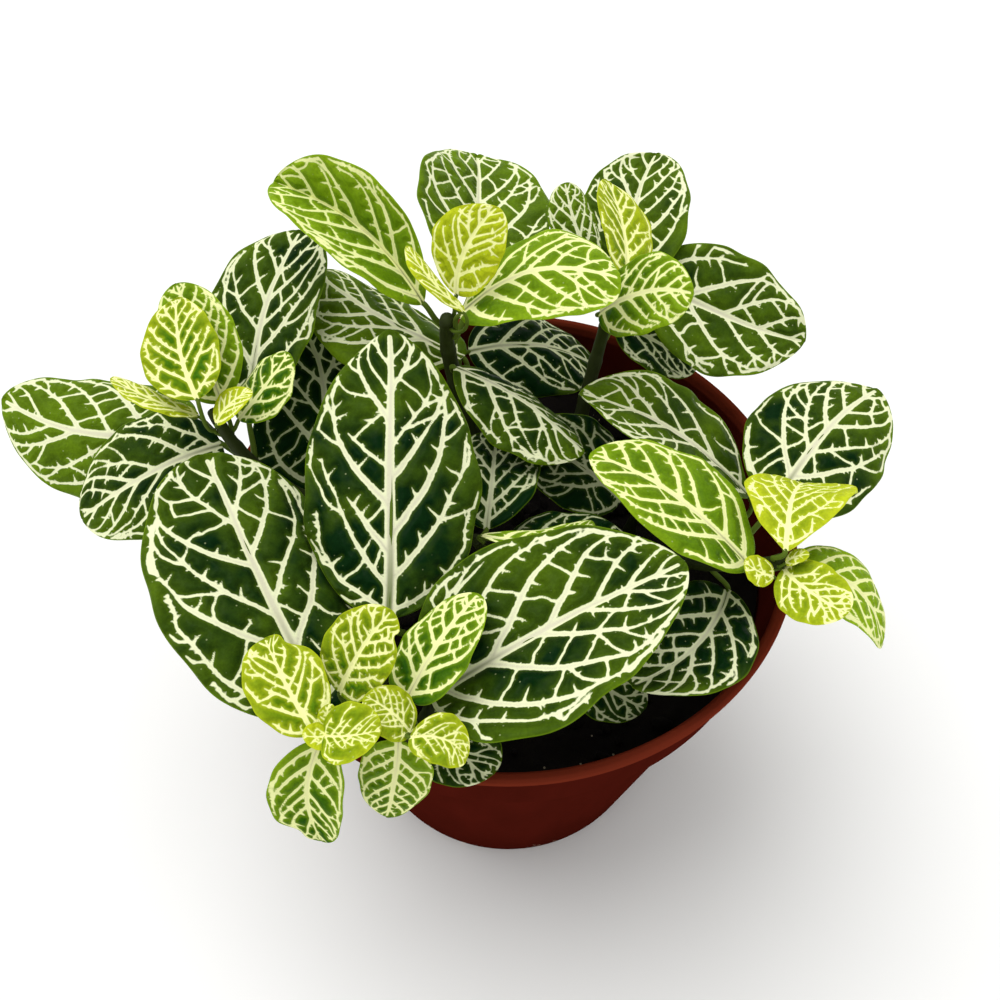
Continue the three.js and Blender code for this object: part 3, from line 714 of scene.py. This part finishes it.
def blade_surface(leaf, s, t):
    """Places on the blade's middle skin and the ways out of its face, for s along it and t across it."""
    along, left, up = leaf["frame"]
    droop = math.radians(leaf["droop"])
    slope = droop * (0.5 - s)
    reach = (math.sin(droop / 2) - np.sin(slope)) / droop * leaf["length"]
    lift = (np.cos(slope) - math.cos(droop / 2)) / droop * leaf["length"]
    half = leaf["width"] / 2 * half_width(s, leaf["shoulder"], leaf["tip"])
    side = np.sign(t)
    for at, notched_side, depth, spread in leaf["notches"]:
        half = half * (1 - depth * np.exp(-((s - at) / spread) ** 2) * (side == notched_side))
    half = half * (1 + leaf["ragged"] * np.sin(s * 23 + leaf["phase"] + 2 * side) * np.abs(t) ** 3)
    fold = math.radians(leaf["fold"])
    curl = math.radians(leaf["cup"]) / (leaf["width"] / 2)
    turn = fold + curl * half * np.abs(t)
    sideways = side * (np.sin(turn) - math.sin(fold)) / curl
    rise = (math.cos(fold) - np.cos(turn)) / curl
    rise = rise + leaf["wave"] * t * t * np.sin(
        math.tau * leaf["waves"] * s + leaf["phase"] + 1.3 * side)
    out = up * np.cos(slope)[:, None] - along * np.sin(slope)[:, None]
    midrib = (leaf["base"] + along * reach[:, None] + up * lift[:, None]
              + left * (leaf["sweep"] * 4 * s * (1 - s))[:, None])
    places = midrib + left * sideways[:, None] + out * rise[:, None]
    facing = out * np.cos(turn)[:, None] - left * (side * np.sin(turn))[:, None]
    return places, facing


def mark(piece, name, values):
    """Writes one number per point as an attribute that the material reads."""
    piece.data.attributes.new(name, "FLOAT", "POINT").data.foreach_set("value", values)


def blade(leaf, dice):
    """One blade: a grid shaped to the leaf, puffed between its veins, and given its thickness."""
    long, wide = leaf["length"], leaf["width"]
    rows = max(24, round(1.25 * long / leaf["mesh"]))
    columns = 2 * max(8, round(wide / leaf["mesh"] / 2))
    piece, u, t = sheet_of(rows, columns)
    s = 0.45 * u + 0.55 * (1 - np.cos(math.pi * u)) / 2  # rows lie closer at the foot and the tip
    s = np.clip(s, 1e-9, 1 - 1e-9)
    half = wide / 2 * half_width(s, leaf["shoulder"], leaf["tip"])
    web = 0.06 * long ** 0.5
    depth = vein_depth(s * long, t * half, grow_veins(leaf, dice), web)
    edge = (1 - np.abs(t)) * half
    places, facing = blade_surface(leaf, s, t)
    puff = leaf["puff"] * (1 - np.exp(np.minimum(depth, 0) / puff_reach))
    puff = puff * np.minimum(1, edge / flat_margin)
    crinkle = leaf["crinkle"] * wide * (0.35 + 0.65 * t * t) * np.array([
        noise.noise(Vector((x, y, 7 * leaf["phase"]))) for x, y in zip(s * 9, t * 2.6)])
    places = places + facing * (puff + crinkle)[:, None]
    foot_tone, tip_tone = leaf["tones"]
    mark(piece, "vein_depth", depth)
    mark(piece, "from_margin", edge)
    # the tone: how light the blade is, its own tone with painted shade on leaves deep among the others and
    # painted light towards the margins
    mark(piece, "tone", foot_tone + (tip_tone - foot_tone) * s + leaf["margin_tone"] * np.abs(t) ** 3)
    mark(piece, "up_leaf", s)
    mark(piece, "stalk", np.zeros(len(s)))
    thick = piece.vertex_groups.new(name="thickness")
    levels = np.rint(thickness_levels * np.minimum(1, edge / thin_margin)).astype(int)
    for level in range(thickness_levels + 1):
        thick.add(np.nonzero(levels == level)[0].tolist(), max(thinnest, level / thickness_levels),
                  "REPLACE")
    shape_to(piece, places)
    upper = len(piece.data.vertices)
    finish_with(piece, "SOLIDIFY", thickness=leaf_thickness * mm, offset=0, vertex_group="thickness",
                thickness_vertex_group=0)
    mark(piece, "underside", (np.arange(len(piece.data.vertices)) >= upper).astype(float))
    bpy.ops.object.shade_smooth()
    return piece


def leaf_stalk(leaf):
    """The stalk from its seat on the stem to the blade's foot, and on under the blade as a rib."""
    along, left, up = leaf["frame"]
    seat, out = seat_on(leaf["stem"], leaf["at"], leaf["base"])
    far = np.linalg.norm(seat - leaf["base"])
    tilt = math.radians(leaf["droop"]) / 2
    enter = along * math.cos(tilt) + up * math.sin(tilt)
    thick = 0.24 + 0.011 * leaf["width"]  # the stalk's radius, larger on a larger leaf
    controls = [seat - out * seat_gap, seat + out * 0.22 * far, leaf["base"] - enter * 0.32 * far,
                leaf["base"]]
    places, ways = bezier(controls, np.linspace(0, 0.97, 12))
    s = np.linspace(0.02, 0.9, 26)
    rib, facing = blade_surface(leaf, s, np.full(len(s), 1e-6))
    rib_radius = thick * (1 - s) ** 0.8 + 0.12
    rib = rib - facing * (rib_radius * 0.75)[:, None]  # three quarters of it stands out below
    rib_ways = np.gradient(rib, axis=0)
    rib_ways /= np.linalg.norm(rib_ways, axis=1, keepdims=True)
    radii = np.concatenate([np.linspace(thick * 1.15, thick, len(places)), rib_radius])
    piece = stalk("stalk", np.concatenate([places, rib]), np.concatenate([ways, rib_ways]), radii, 10)
    count = len(piece.data.vertices)
    for name, value in (("vein_depth", 0.4), ("from_margin", 3), ("tone", leaf["tones"][0]),
                        ("up_leaf", 0), ("stalk", 1), ("underside", 0)):
        mark(piece, name, np.full(count, float(value)))
    return piece


def make_leaf(row, age, material):
    """One whole leaf from its row: its blade and stalk, joined and finished."""
    name, stem, at, base, aim, size, bend, outline, tones, *rest = row
    own = dict(*rest)
    dice = random.Random(name)
    leaf = dict(stem=stem, at=at, base=np.array(base, float), frame=chord_frame(*aim),
                length=size[0], width=size[1], droop=bend[0], fold=bend[1], cup=bend[2],
                sweep=outline[0], shoulder=outline[1], tip=outline[2], tones=tones, notches=[],
                midrib=0.195 * size[0] ** 0.63, phase=dice.uniform(0, math.tau), mesh=blade_cell,
                wave=0.014 * size[1], waves=dice.uniform(1.6, 2.8), ragged=0.016,
                crinkle=0.022, patches=5 * size[0])
    leaf.update(age)
    count = {**leaf, **own}["pairs"] if size[0] > 8 else 4  # side veins on each side
    leaf.setdefault("left", side_starts(count, leaf["strong"], leaf["weak"], dice))
    leaf.setdefault("right", side_starts(count, leaf["strong"], leaf["weak"], dice, first=0.05, last=0.9))
    # The veins and the cells between them grow more slowly than the leaf.
    leaf["cell"] = leaf["cell_share"] * size[0] ** 0.5
    leaf["tooth"] = 0.4 + 0.22 * leaf["cell"]
    leaf["fine"] = 0.18 + 0.042 * size[0] ** 0.5
    leaf["thorn"] = 0.75 * size[0] ** 0.5
    if size[0] < small_leaf:
        leaf["mesh"] = small_cell if size[0] > tiny_leaf else tiny_cell
        leaf["patches"] = 2 * size[0]
    leaf.update(own)
    piece = blade(leaf, dice)
    join_to(piece, leaf_stalk(leaf))
    piece.name = "veined_leaf_" + name
    piece.data.materials.append(material)
    return piece


def hand_over(piece):
    """Puts a finished leaf in place of its CAD node."""
    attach(piece, "root")
    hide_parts(piece.name.replace("veined_", ""))


def leaf_material(name, dark, light, vein, core, under, roughness, glow):
    """Living leaf skin: thin wax under fine hairs, so it is nearly matt. The veins' net, the margin and
    the tone come from the blade's own attributes, and the mottling from object noise. `glow` is how much
    lighter the skin is beside a vein."""
    skin = new_material(name)
    place = add(skin, "TexCoord")
    depth, margin, tone, up_leaf, on_stalk, facing_down = [
        add(skin, "Attribute", attribute_name=attribute)
        for attribute in ("vein_depth", "from_margin", "tone", "up_leaf", "stalk", "underside")]

    # the vein's ragged edge: noise about 0.7 mm across moves it by up to 0.07 mm either way
    ragged = add(skin, "TexNoise", [("Vector", place, "Object")], Scale=1.4 / mm, Detail=2)
    shift = add(skin, "MapRange", [("Value", ragged, "Fac")], **ramp(0.2, 0.8, -0.07, 0.07))
    edge_depth = add(skin, "Math", [(0, depth, "Fac"), (1, shift, "Result")], operation="ADD")
    vein_mask = add(skin, "MapRange", [("Value", edge_depth, "Value")], **ramp(-0.1, 0.1),
                    interpolation_type="SMOOTHSTEP")

    # the lamina: patches about 9 mm across, painted lighter towards the margin as painted light, mottled at
    # 0.5 mm
    patches = add(skin, "TexNoise", [("Vector", place, "Object")], Scale=0.11 / mm, Detail=3)
    patch_tone = add(skin, "MapRange", [("Value", patches, "Fac")], **ramp(0.3, 0.7, -0.16, 0.16))
    painted_margin_light = add(skin, "MapRange", [("Value", margin, "Fac")], **ramp(0, 3.5, 0.12, 0))
    toned = add(skin, "Math", [(0, tone, "Fac"), (1, patch_tone, "Result")], operation="ADD")
    lit_edge = add(skin, "Math", [(0, toned, "Value"), (1, painted_margin_light, "Result")], operation="ADD",
                   use_clamp=True)
    lamina = add(skin, "Mix", [("Factor", lit_edge, "Value")], data_type="RGBA", A=linear(dark),
                 B=linear(light))
    near_vein = add(skin, "MapRange", [("Value", depth, "Fac")], **ramp(-0.7, -0.05, 0, glow),
                    interpolation_type="SMOOTHSTEP")
    glowing = add(skin, "Mix", [("Factor", near_vein, "Result"), ("A", lamina, "Result")],
                  data_type="RGBA", B=linear(light))
    mottle = add(skin, "TexNoise", [("Vector", place, "Object")], Scale=2 / mm, Detail=3)
    shade = add(skin, "MapRange", [("Value", mottle, "Fac")], **ramp(0.25, 0.75, 0.84, 1.16))
    mottled = add(skin, "VectorMath", [(0, glowing, "Result"), ("Scale", shade, "Result")],
                  operation="SCALE")

    # hair tips that catch the light: pale dots 0.3 mm across, about one to each 2 mm cell
    dots = add(skin, "TexVoronoi", [("Vector", place, "Object")], Scale=0.52 / mm)
    dot = add(skin, "MapRange", [("Value", dots, "Distance")], **ramp(0.05, 0.1, 0.35, 0))
    dotted = add(skin, "Mix", [("Factor", dot, "Result"), ("A", mottled, "Vector")], data_type="RGBA",
                 B=linear("#c9d39a"))
    rim_line = add(skin, "MapRange", [("Value", margin, "Fac")], **ramp(0.08, 0.28, 0.4, 0))
    rimmed = add(skin, "Mix", [("Factor", rim_line, "Result"), ("A", dotted, "Result")], data_type="RGBA",
                 B=linear(light))

    # the veins: paler at their edges, and a greener middle line low on the midrib
    in_vein = add(skin, "MapRange", [("Value", depth, "Fac")], **ramp(0.15, 0.6))
    vein_colour = add(skin, "Mix", [("Factor", in_vein, "Result")], data_type="RGBA", A=linear(vein),
                      B=linear(core))
    in_midrib = add(skin, "MapRange", [("Value", depth, "Fac")], **ramp(0.45, 0.85))
    low = add(skin, "MapRange", [("Value", up_leaf, "Fac")], **ramp(0.05, 0.4, 0.85, 0))
    median = add(skin, "Math", [(0, in_midrib, "Result"), (1, low, "Result")], operation="MULTIPLY")
    green_line = add(skin, "Math", [(0, median, "Value"), (1, on_stalk, "Fac")], operation="MAXIMUM",
                     use_clamp=True)
    midrib = add(skin, "Mix", [("Factor", green_line, "Value"), ("A", vein_colour, "Result")],
                 data_type="RGBA", B=linear("#566b22"))
    # painted shade on the veins: on leaves with a tone below 0, deep in shade, the net is painted darker
    # and greener
    painted_vein_shade = add(skin, "MapRange", [("Value", tone, "Fac")], **ramp(-0.4, 0.0, 0.5, 0))
    vein_with_painted_shade = add(skin, "Mix", [("Factor", painted_vein_shade, "Result"), ("A", midrib, "Result")],
                    data_type="RGBA", B=linear("#566b22"))
    colour = add(skin, "Mix",
                 [("Factor", vein_mask, "Result"), ("A", rimmed, "Result"), ("B", vein_with_painted_shade, "Result")],
                 data_type="RGBA")

    # the underside: matt and pale, the net only faint
    pale = add(skin, "Math", [(0, facing_down, "Fac")], operation="MULTIPLY")
    pale.inputs[1].default_value = 0.7
    both_sides = add(skin, "Mix", [("Factor", pale, "Value"), ("A", colour, "Result")], data_type="RGBA",
                     B=linear(under))

    # relief: papillae about 0.4 mm across, on skin that swells up to 0.7 mm between the sunken veins
    papillae = add(skin, "TexNoise", [("Vector", place, "Object")], Scale=2.6 / mm, Detail=2)
    swell = add(skin, "MapRange", [("Value", depth, "Fac")], **ramp(-1.6, 0.1, 7, 0),
                interpolation_type="SMOOTHSTEP")
    height = add(skin, "Math", [(0, papillae, "Fac"), (1, swell, "Result")], operation="ADD")
    relief = add(skin, "Bump", [("Height", height, "Value")], Strength=0.6, Distance=0.1 * mm)
    shader = add(skin, "BsdfPrincipled",
                 [("Base Color", both_sides, "Result"), ("Normal", relief, "Normal")],
                 Roughness=roughness, IOR=1.42, Specular_IOR_Level=0.04)
    add(skin, "OutputMaterial", [("Surface", shader, "BSDF")])
    return skin


# the margin share of each age is painted light towards the margins, which leaves painted shade along the
# midrib
old_age = dict(spread=45, bend=3, reach=0.6, arches=0.9, closed=0.35, cell_share=0.54, twigs=0.02,
               puff=puff_height, margin_tone=0.03, pairs=6, strong=0.95, weak=0.7)
old_skin = leaf_material(
    "old_leaf_skin", dark="#08260a", light="#7c9e12", vein="#ecf0c4", core="#dcdabc", under="#6f8450",
    roughness=0.42, glow=0.12)
long_veins = dict(reach=0.68, arches=0.95)  # side veins that run on along the margin
# Each row: name, stem and the share of its length where the stalk starts; the blade's foot; heading,
# rise and roll in degrees; length and width; droop, fold and cup in degrees; sweep in millimetres,
# shoulder and tip; how light it is at its foot and its tip, which holds painted shade on the leaves deep
# among the others and painted sheen on those at the back; and last, what is this leaf's own.
old_rows = [
    ("front_left_large", "stem_front", 0.75, (-30, -56, 113.5), (119, 16, 19), (52.5, 37), (13, 5, -35),
     (0.5, 0.5, 0.5), (0.05, 0.16),
     dict(reach=0.72, closed=0.3, arches=0.95, spread=44, bend=2.6, cell=4.2, twigs=0.025)),
    ("front_centre_large", "stem_front", 0.6, (-20.5, -39, 116.5), (91, 28, 4), (52, 33), (18, -8, -20),
     (-0.5, 0.55, 0.7), (0.03, 0.12),
     dict(reach=0.62, closed=0.25, arches=0.8, spread=42, bend=2.4, cell=4.4, twigs=0.03,
          left=[(0.03, 0.5), (0.1, 0.6), (0.21, 0.95), (0.37, 0.95), (0.5, 0.5), (0.66, 0.85), (0.76, 0.45),
                (0.86, 0.55)],
          right=[(0.03, 0.5), (0.13, 0.75), (0.27, 1), (0.46, 0.95), (0.57, 0.45), (0.77, 0.7),
                 (0.88, 0.4)])),
    ("front_right_large", "stem_front_fork", 0.45, (-13, -52, 113), (25, 12, 0), (49, 36), (14, 14, -2),
     (0, 0.4, 0.65), (0.06, 0.2),
     dict(closed=0.3, arches=1, spread=40, bend=3, cell=4.1, twigs=0.03, midrib=2.1, reach=0.85,
          left=[(0.02, 0.6), (0.1, 0.7), (0.24, 1), (0.46, 0.95), (0.64, 0.75), (0.77, 0.8), (0.88, 0.5)],
          right=[(0, 0.6), (0.06, 0.85), (0.22, 1), (0.42, 0.95), (0.6, 0.8), (0.74, 0.7), (0.87, 0.5)])),
    ("front_rim_low", "stem_front", 0.66, (-12.5, -48, 103), (-53, -14, 2), (16, 14.5), (17, 15, -15),
     (-2, 0.6, 0.5), (-0.25, -0.1)),
    ("left_upright", "stem_left", 0.8, (-52, 11, 116.5), (76, 23, -10), (39.5, 26), (20, 8, 1),
     (1.5, 0.45, 0.45), (0.03, 0.2), dict(long_veins, midrib=2.0, fine=0.46)),
    ("left_far", "stem_left", 0.74, (-63, 7, 112.5), (167, -1, -22), (43.5, 28), (9, -3, -32),
     (4, 0.5, 0.6), (0.3, 0.5), long_veins),
    ("left_front", "stem_left", 0.82, (-56, 1.1, 115.5), (-161, -20, -20), (32.5, 25), (25, 8, -22),
     (-1, 0.5, 0.6), (0.02, 0.2), long_veins),
    ("left_edge", "stem_left", 0.48, (-41, 1, 101), (98, 23, 2), (39.5, 30), (16, 14, -16), (-5, 0.3, 0.7),
     (-0.3, -0.15)),
    ("centre_back", "stem_centre", 0.8, (-7, 30.5, 131), (90, -1, 17), (44.5, 31), (15, 19, 3),
     (-0.5, 0.55, 0.65), (0.28, 0.5)),
    ("centre_left_low", "stem_centre", 0.56, (-9.2, 22.6, 118), (149, 10, 9), (37.5, 26), (28, -11, -22),
     (4, 0.5, 0.5), (0.22, 0.45)),
    ("centre_right_low", "stem_centre", 0.52, (-8.5, 32, 110.5), (16, -24, 12), (34.5, 24), (44, -2, -23),
     (1.5, 0.55, 0.65), (-0.1, 0.05)),
    ("centre_front_low", "stem_centre", 0.72, (-10.5, 14, 124), (-29, -19, -16), (31, 22), (30, -16, -25),
     (0.5, 0.7, 0.6), (0.05, 0.2)),
    ("back_right_rear", "stem_back_right", 0.78, (26.5, 40.5, 123.5), (78, 13, -2), (35, 24), (16, 18, -11),
     (2, 0.45, 0.6), (0.12, 0.28), dict(long_veins, midrib=1.9, fine=0.46, closed=0.25)),
    ("back_right_small", "stem_back_right", 0.86, (18.5, 40, 126.5), (114, 34, 11), (19.5, 11.5),
     (17, 6, -24), (1.5, 0.6, 0.5), (0.25, 0.45)),
    ("back_right_large", "stem_back_right", 0.72, (30, 43, 122), (-14, -17, 28), (37.5, 28.5),
     (11, 16, -18), (-2, 0.55, 0.7), (0.16, 0.3),
     dict(long_veins, midrib=2.15, fine=0.5, closed=0.2, pairs=5)),
    ("back_right_low", "stem_back_right", 0.63, (23.2, 39.5, 112.3), (-11, -28, 14), (22.5, 16),
     (18, 14, -19), (0, 0.5, 0.55), (-0.2, -0.05)),
    ("right_rear", "stem_right", 0.76, (51, -10.5, 110), (48, 5, 9), (38.5, 29), (23, -1, -23),
     (2, 0.6, 0.7), (0.02, 0.2), dict(long_veins, midrib=2.1, fine=0.5, closed=0.3)),
    ("right_inner_dark", "stem_right", 0.62, (49, -1, 102), (164, 28, 11), (41.5, 27), (16, 16, -12),
     (-3.5, 0.65, 0.7), (0.18, 0.36), long_veins),
    ("right_low", "stem_right", 0.7, (42, -24, 102), (-133, 4, 3), (29.5, 21), (20, 13, -15),
     (3.5, 0.55, 0.55), (-0.08, 0.06)),
    ("middle_upright", "stem_middle", 0.92, (-4, -15, 109.5), (85, 1, -3), (24, 19), (20, 14, -16),
     (0, 0.6, 0.55), (-0.3, -0.1)),
    ("middle_flat", "stem_middle", 0.8, (-0.5, -16.5, 105), (5, -4, -11), (25.5, 17), (17, 10, -15),
     (0.5, 0.55, 0.6), (-0.35, -0.25)),
    ("low_front", "stem_low", 0.95, (10.5, -35.5, 97), (-26, -21, 12), (18.5, 13), (17, 14, -18),
     (-1, 0.55, 0.6), (-0.35, -0.3)),
    ("low_right", "stem_low_right", 0.95, (24, 2.5, 95.7), (163, 33, -22), (26, 20), (18, 12, -18),
     (-1, 0.55, 0.55), (-0.35, -0.3)),
]
for row in old_rows:
    hand_over(make_leaf(row, old_age, old_skin))


# MIDDLE LEAVES. Half grown, one or two pairs below each tip: brighter green soft blades, with a
# closer net of pale yellow veins and a little more gloss than the old ones.
middle_age = dict(spread=52, bend=3.6, reach=0.6, arches=0.9, closed=0.3, cell_share=0.46, twigs=0.02,
                  puff=0.36, margin_tone=0.12, pairs=7, strong=0.95, weak=0.85)
middle_skin = leaf_material(
    "middle_leaf_skin", dark="#285606", light="#93b41a", vein="#f4f8ae", core="#eae8b0", under="#8a9e52",
    roughness=0.4, glow=0.35)
middle_rows = [
    # The two hanging leaves, here and two rows on, are painted darker towards their tips: painted shade on
    # their lower halves.
    ("front_left_hanging", "stem_front", 0.94, (-29.7, -61.3, 116.5), (-98, -62, -4), (21, 13.2),
     (20, 18, 3), (-2, 0.45, 0.55), (0.5, -0.1),
     dict(notches=[(0.86, -1, 0.38, 0.1)], closed=0.15, cell=2.4)),
    ("front_right_upright", "stem_front_fork", 0.88, (-16, -56.5, 120.5), (58, 8, -18), (21.5, 14),
     (14, 4, -10), (0.6, 0.35, 0.55), (-0.1, 0.35)),
    ("front_right_hanging", "stem_front_fork", 0.8, (-17.5, -61, 115.5), (-119, -70, -26), (19, 12.6),
     (13, 5, -31), (0.5, 0.5, 0.6), (0.5, -0.1), dict(closed=0.1, cell=2.2)),
    ("left_tip_behind", "stem_left", 0.9, (-54.5, 4, 124.5), (116, 35, -23), (24.5, 16), (18, 12, -16),
     (-0.5, 0.55, 0.6), (0.2, 0.4)),
    ("left_inner", "stem_left", 0.92, (-51, 0.4, 123.6), (45, 30, -6), (16, 12.5), (19, 4, -22),
     (-1, 0.55, 0.6), (-0.15, 0.05), dict(pairs=5, closed=0.2, cell=2.6)),
    ("centre_left_bright", "stem_centre", 0.95, (-16, 18.5, 136.5), (141, 14, -30), (40, 25.5), (8, 48, 4),
     (-3.5, 0.6, 0.65), (0.35, 0.6)),
    ("centre_right_bright", "stem_centre", 0.9, (-9, 15.4, 136.3), (0, 16, 6), (31.1, 22), (27, -4, -3),
     (5, 0.6, 0.45), (0.25, 0.5)),
    ("back_right_front", "stem_back_right", 0.95, (18, 21.8, 130.8), (-33, 37, 40), (23.2, 16),
     (17, 3, -16), (2, 0.5, 0.55), (0.05, 0.5)),
    ("right_inner_bright", "stem_right", 0.8, (43, -28, 116), (147, 16, 12), (35, 24), (22, 17, -26),
     (-2, 0.55, 0.65), (0.22, 0.45)),
    ("right_curled", "stem_right", 0.92, (49.6, -28.2, 116), (-22, -33, -4), (26, 14.5), (66, 10, -26),
     (3, 0.45, 0.55), (0.55, 0.8)),
    ("middle_edge_on", "stem_middle", 0.96, (-5, -20.5, 115), (9, -2, -26), (21.5, 7.5), (18, 13, -19),
     (-5.5, 0.55, 0.4), (0.25, 0.5)),
]
for row in middle_rows:
    hand_over(make_leaf(row, middle_age, middle_skin))


# YOUNG LEAVES. The newest pairs, still folding out at the tips: yellow green, soft, and crowded with
# pale yellow veins that are broad for such small blades.
young_age = dict(spread=46, bend=4, reach=0.52, arches=0.5, closed=0.15, cell_share=0.46, twigs=0.02,
                 puff=0.24, margin_tone=0.3, pairs=7, strong=0.8, weak=0.7)
young_skin = leaf_material(
    "young_leaf_skin", dark="#3f6e06", light="#c0cc22", vein="#fdffb0", core="#f6f6ac", under="#aab860",
    roughness=0.38, glow=0.4)
tip_net = dict(midrib=0.6, fine=0.2, cell=1.2, thorn=3)  # a thin, close net on blades of 10 mm
young_rows = [
    ("front_left_bright", "stem_front", 0.98, (-29.9, -62.9, 121.9), (122, 23, 2), (16.8, 12.6),
     (15, 12, -10), (0.3, 0.5, 0.42), (0.02, 0.3), dict(notches=[(0.88, -1, 0.42, 0.11)], midrib=0.95)),
    ("front_left_upright", "stem_front", 0.92, (-27.1, -54.3, 118.9), (31, 55, 24), (19.5, 12.4),
     (22, 12, -8), (0.5, 0.5, 0.5), (-0.1, 0.12), dict(notches=[(0.86, -1, 0.3, 0.05)], midrib=1.05)),
    ("front_left_tip_low", "stem_front", 0.95, (-28.1, -63.2, 122.2), (-3, 18, 5), (9.8, 10.3),
     (50, 22, -6), (-1, 0.55, 0.55), (-0.1, 0.3), tip_net),
    ("front_left_tip_inner", "stem_front", 0.98, (-27.2, -62, 122.2), (96, 40, 10), (3.8, 3), (15, 15, -14),
     (0.5, 0.5, 0.5), (0.1, 0.3)),
    ("front_right_tip_inner", "stem_front_fork", 0.98, (-15.2, -61.6, 119.4), (155, 42, -8), (10, 8),
     (18, 14, -17), (-0.5, 0.5, 0.5), (0, 0.3), tip_net),
    ("front_right_tip_outer", "stem_front_fork", 0.94, (-15.2, -62.9, 120.6), (-13, -16, 22), (9.6, 8.2),
     (24, 20, -17), (1.5, 0.5, 0.5), (0, 0.35), tip_net),
    ("left_tip_bright", "stem_left", 0.95, (-56.5, -1.9, 131.7), (107, 19, -12), (21.5, 15), (10, 13, -14),
     (1, 0.5, 0.65), (-0.05, 0.1), dict(midrib=1.05)),
    ("left_tip_folded", "stem_left", 0.92, (-57.9, -0.8, 125.9), (168, 24, 30), (17, 8.6), (10, 11, -22),
     (2.5, 0.55, 0.5), (0.4, 0.62)),
    ("left_tip_small", "stem_left", 0.97, (-53.5, -4.3, 127.6), (39, 23, -2), (9, 6.4), (14, 15, -15),
     (1, 0.55, 0.55), (0.4, 0.62)),
    ("centre_tip_bright", "stem_centre", 0.97, (-9.5, 17, 140), (32, 60, 33), (18.5, 14), (16, 8, -16),
     (2, 0.6, 0.6), (0.6, 0.7)),
    ("centre_tip_folded", "stem_centre", 0.97, (-8, 10.5, 141.5), (136, 26, 37), (16, 8), (8, 10, -27),
     (3, 0.55, 0.5), (0.4, 0.62)),
    ("back_right_tip", "stem_back_right", 0.97, (23, 26.5, 135.5), (99, 22, 36), (22, 15), (12, 15, -15),
     (-1.5, 0.6, 0.6), (0.21, 0.43)),
    ("right_tip_fan", "stem_right", 0.98, (47.5, -30.2, 124), (67, -20, -8), (26, 20.5), (72, 9, -4),
     (1, 0.8, 0.34), (0.5, 0.7),
     dict(notches=[(1.0, 1, 0.75, 0.3)], midrib=1.0, pairs=8, fine=0.3, cell=2.2)),
    ("right_tip_small", "stem_right", 0.93, (46.3, -31.8, 118.6), (166, 25, -12), (6.2, 5.6), (13, 13, -17),
     (0.5, 0.55, 0.55), (0.4, 0.62)),
    ("right_tip_front", "stem_right", 0.89, (48.4, -30, 118.4), (-52, 10, 18), (14, 11.5), (34, 10, -18),
     (-1, 0.5, 0.5), (0.15, 0.4), dict(midrib=0.85)),
]
# Two buds of about 5 mm, each joined to the small leaf that it sits beside.
bud_rows = [
    ("front_left_tip_low",
     ("front_bud", "stem_front", 0.985, (-26.6, -62.6, 121.3), (-163, 26, -10), (5.4, 4.6), (20, 14, -12),
      (0.4, 0.5, 0.5), (0.4, 0.62))),
    ("right_tip_small",
     ("right_bud", "stem_right", 0.985, (48.2, -30.3, 120.6), (-5, 42, 0), (4.6, 3.2), (20, 14, -12),
      (0.3, 0.5, 0.5), (0.4, 0.62))),
]
young_leaves = {row[0]: make_leaf(row, young_age, young_skin) for row in young_rows}
for neighbour, row in bud_rows:
    join_to(young_leaves[neighbour], make_leaf(row, young_age, young_skin))
for piece in young_leaves.values():
    hand_over(piece)


# STUDIO. A plain pale floor that runs out of view, a broad soft light from high up on the left and
# behind, and an even white surround that fills the shadows.
floor_size = 12
begin_piece()
bpy.ops.mesh.primitive_plane_add(size=floor_size, location=(0, 0, 0))
floor = bpy.context.object
floor.name = "floor"
paper = new_material("white_seamless_paper")
paper_shader = add(paper, "BsdfPrincipled", Roughness=0.9, Base_Color=linear("#f4f4f2"))
add(paper, "OutputMaterial", [("Surface", paper_shader, "BSDF")])
floor.data.materials.append(paper)

bpy.ops.object.light_add(type="SUN", rotation=(math.radians(-11), math.radians(-15), 0))
sun = bpy.context.object
sun.data.energy = 1.85
sun.data.angle = math.radians(48)
surround = bpy.data.worlds.new("surround")
surround.use_nodes = True
surround.node_tree.nodes["Background"].inputs["Color"].default_value = linear("#ffffff")
surround.node_tree.nodes["Background"].inputs["Strength"].default_value = 0.7
bpy.context.scene.world = surround
bpy.context.scene.view_settings.view_transform = "Standard"
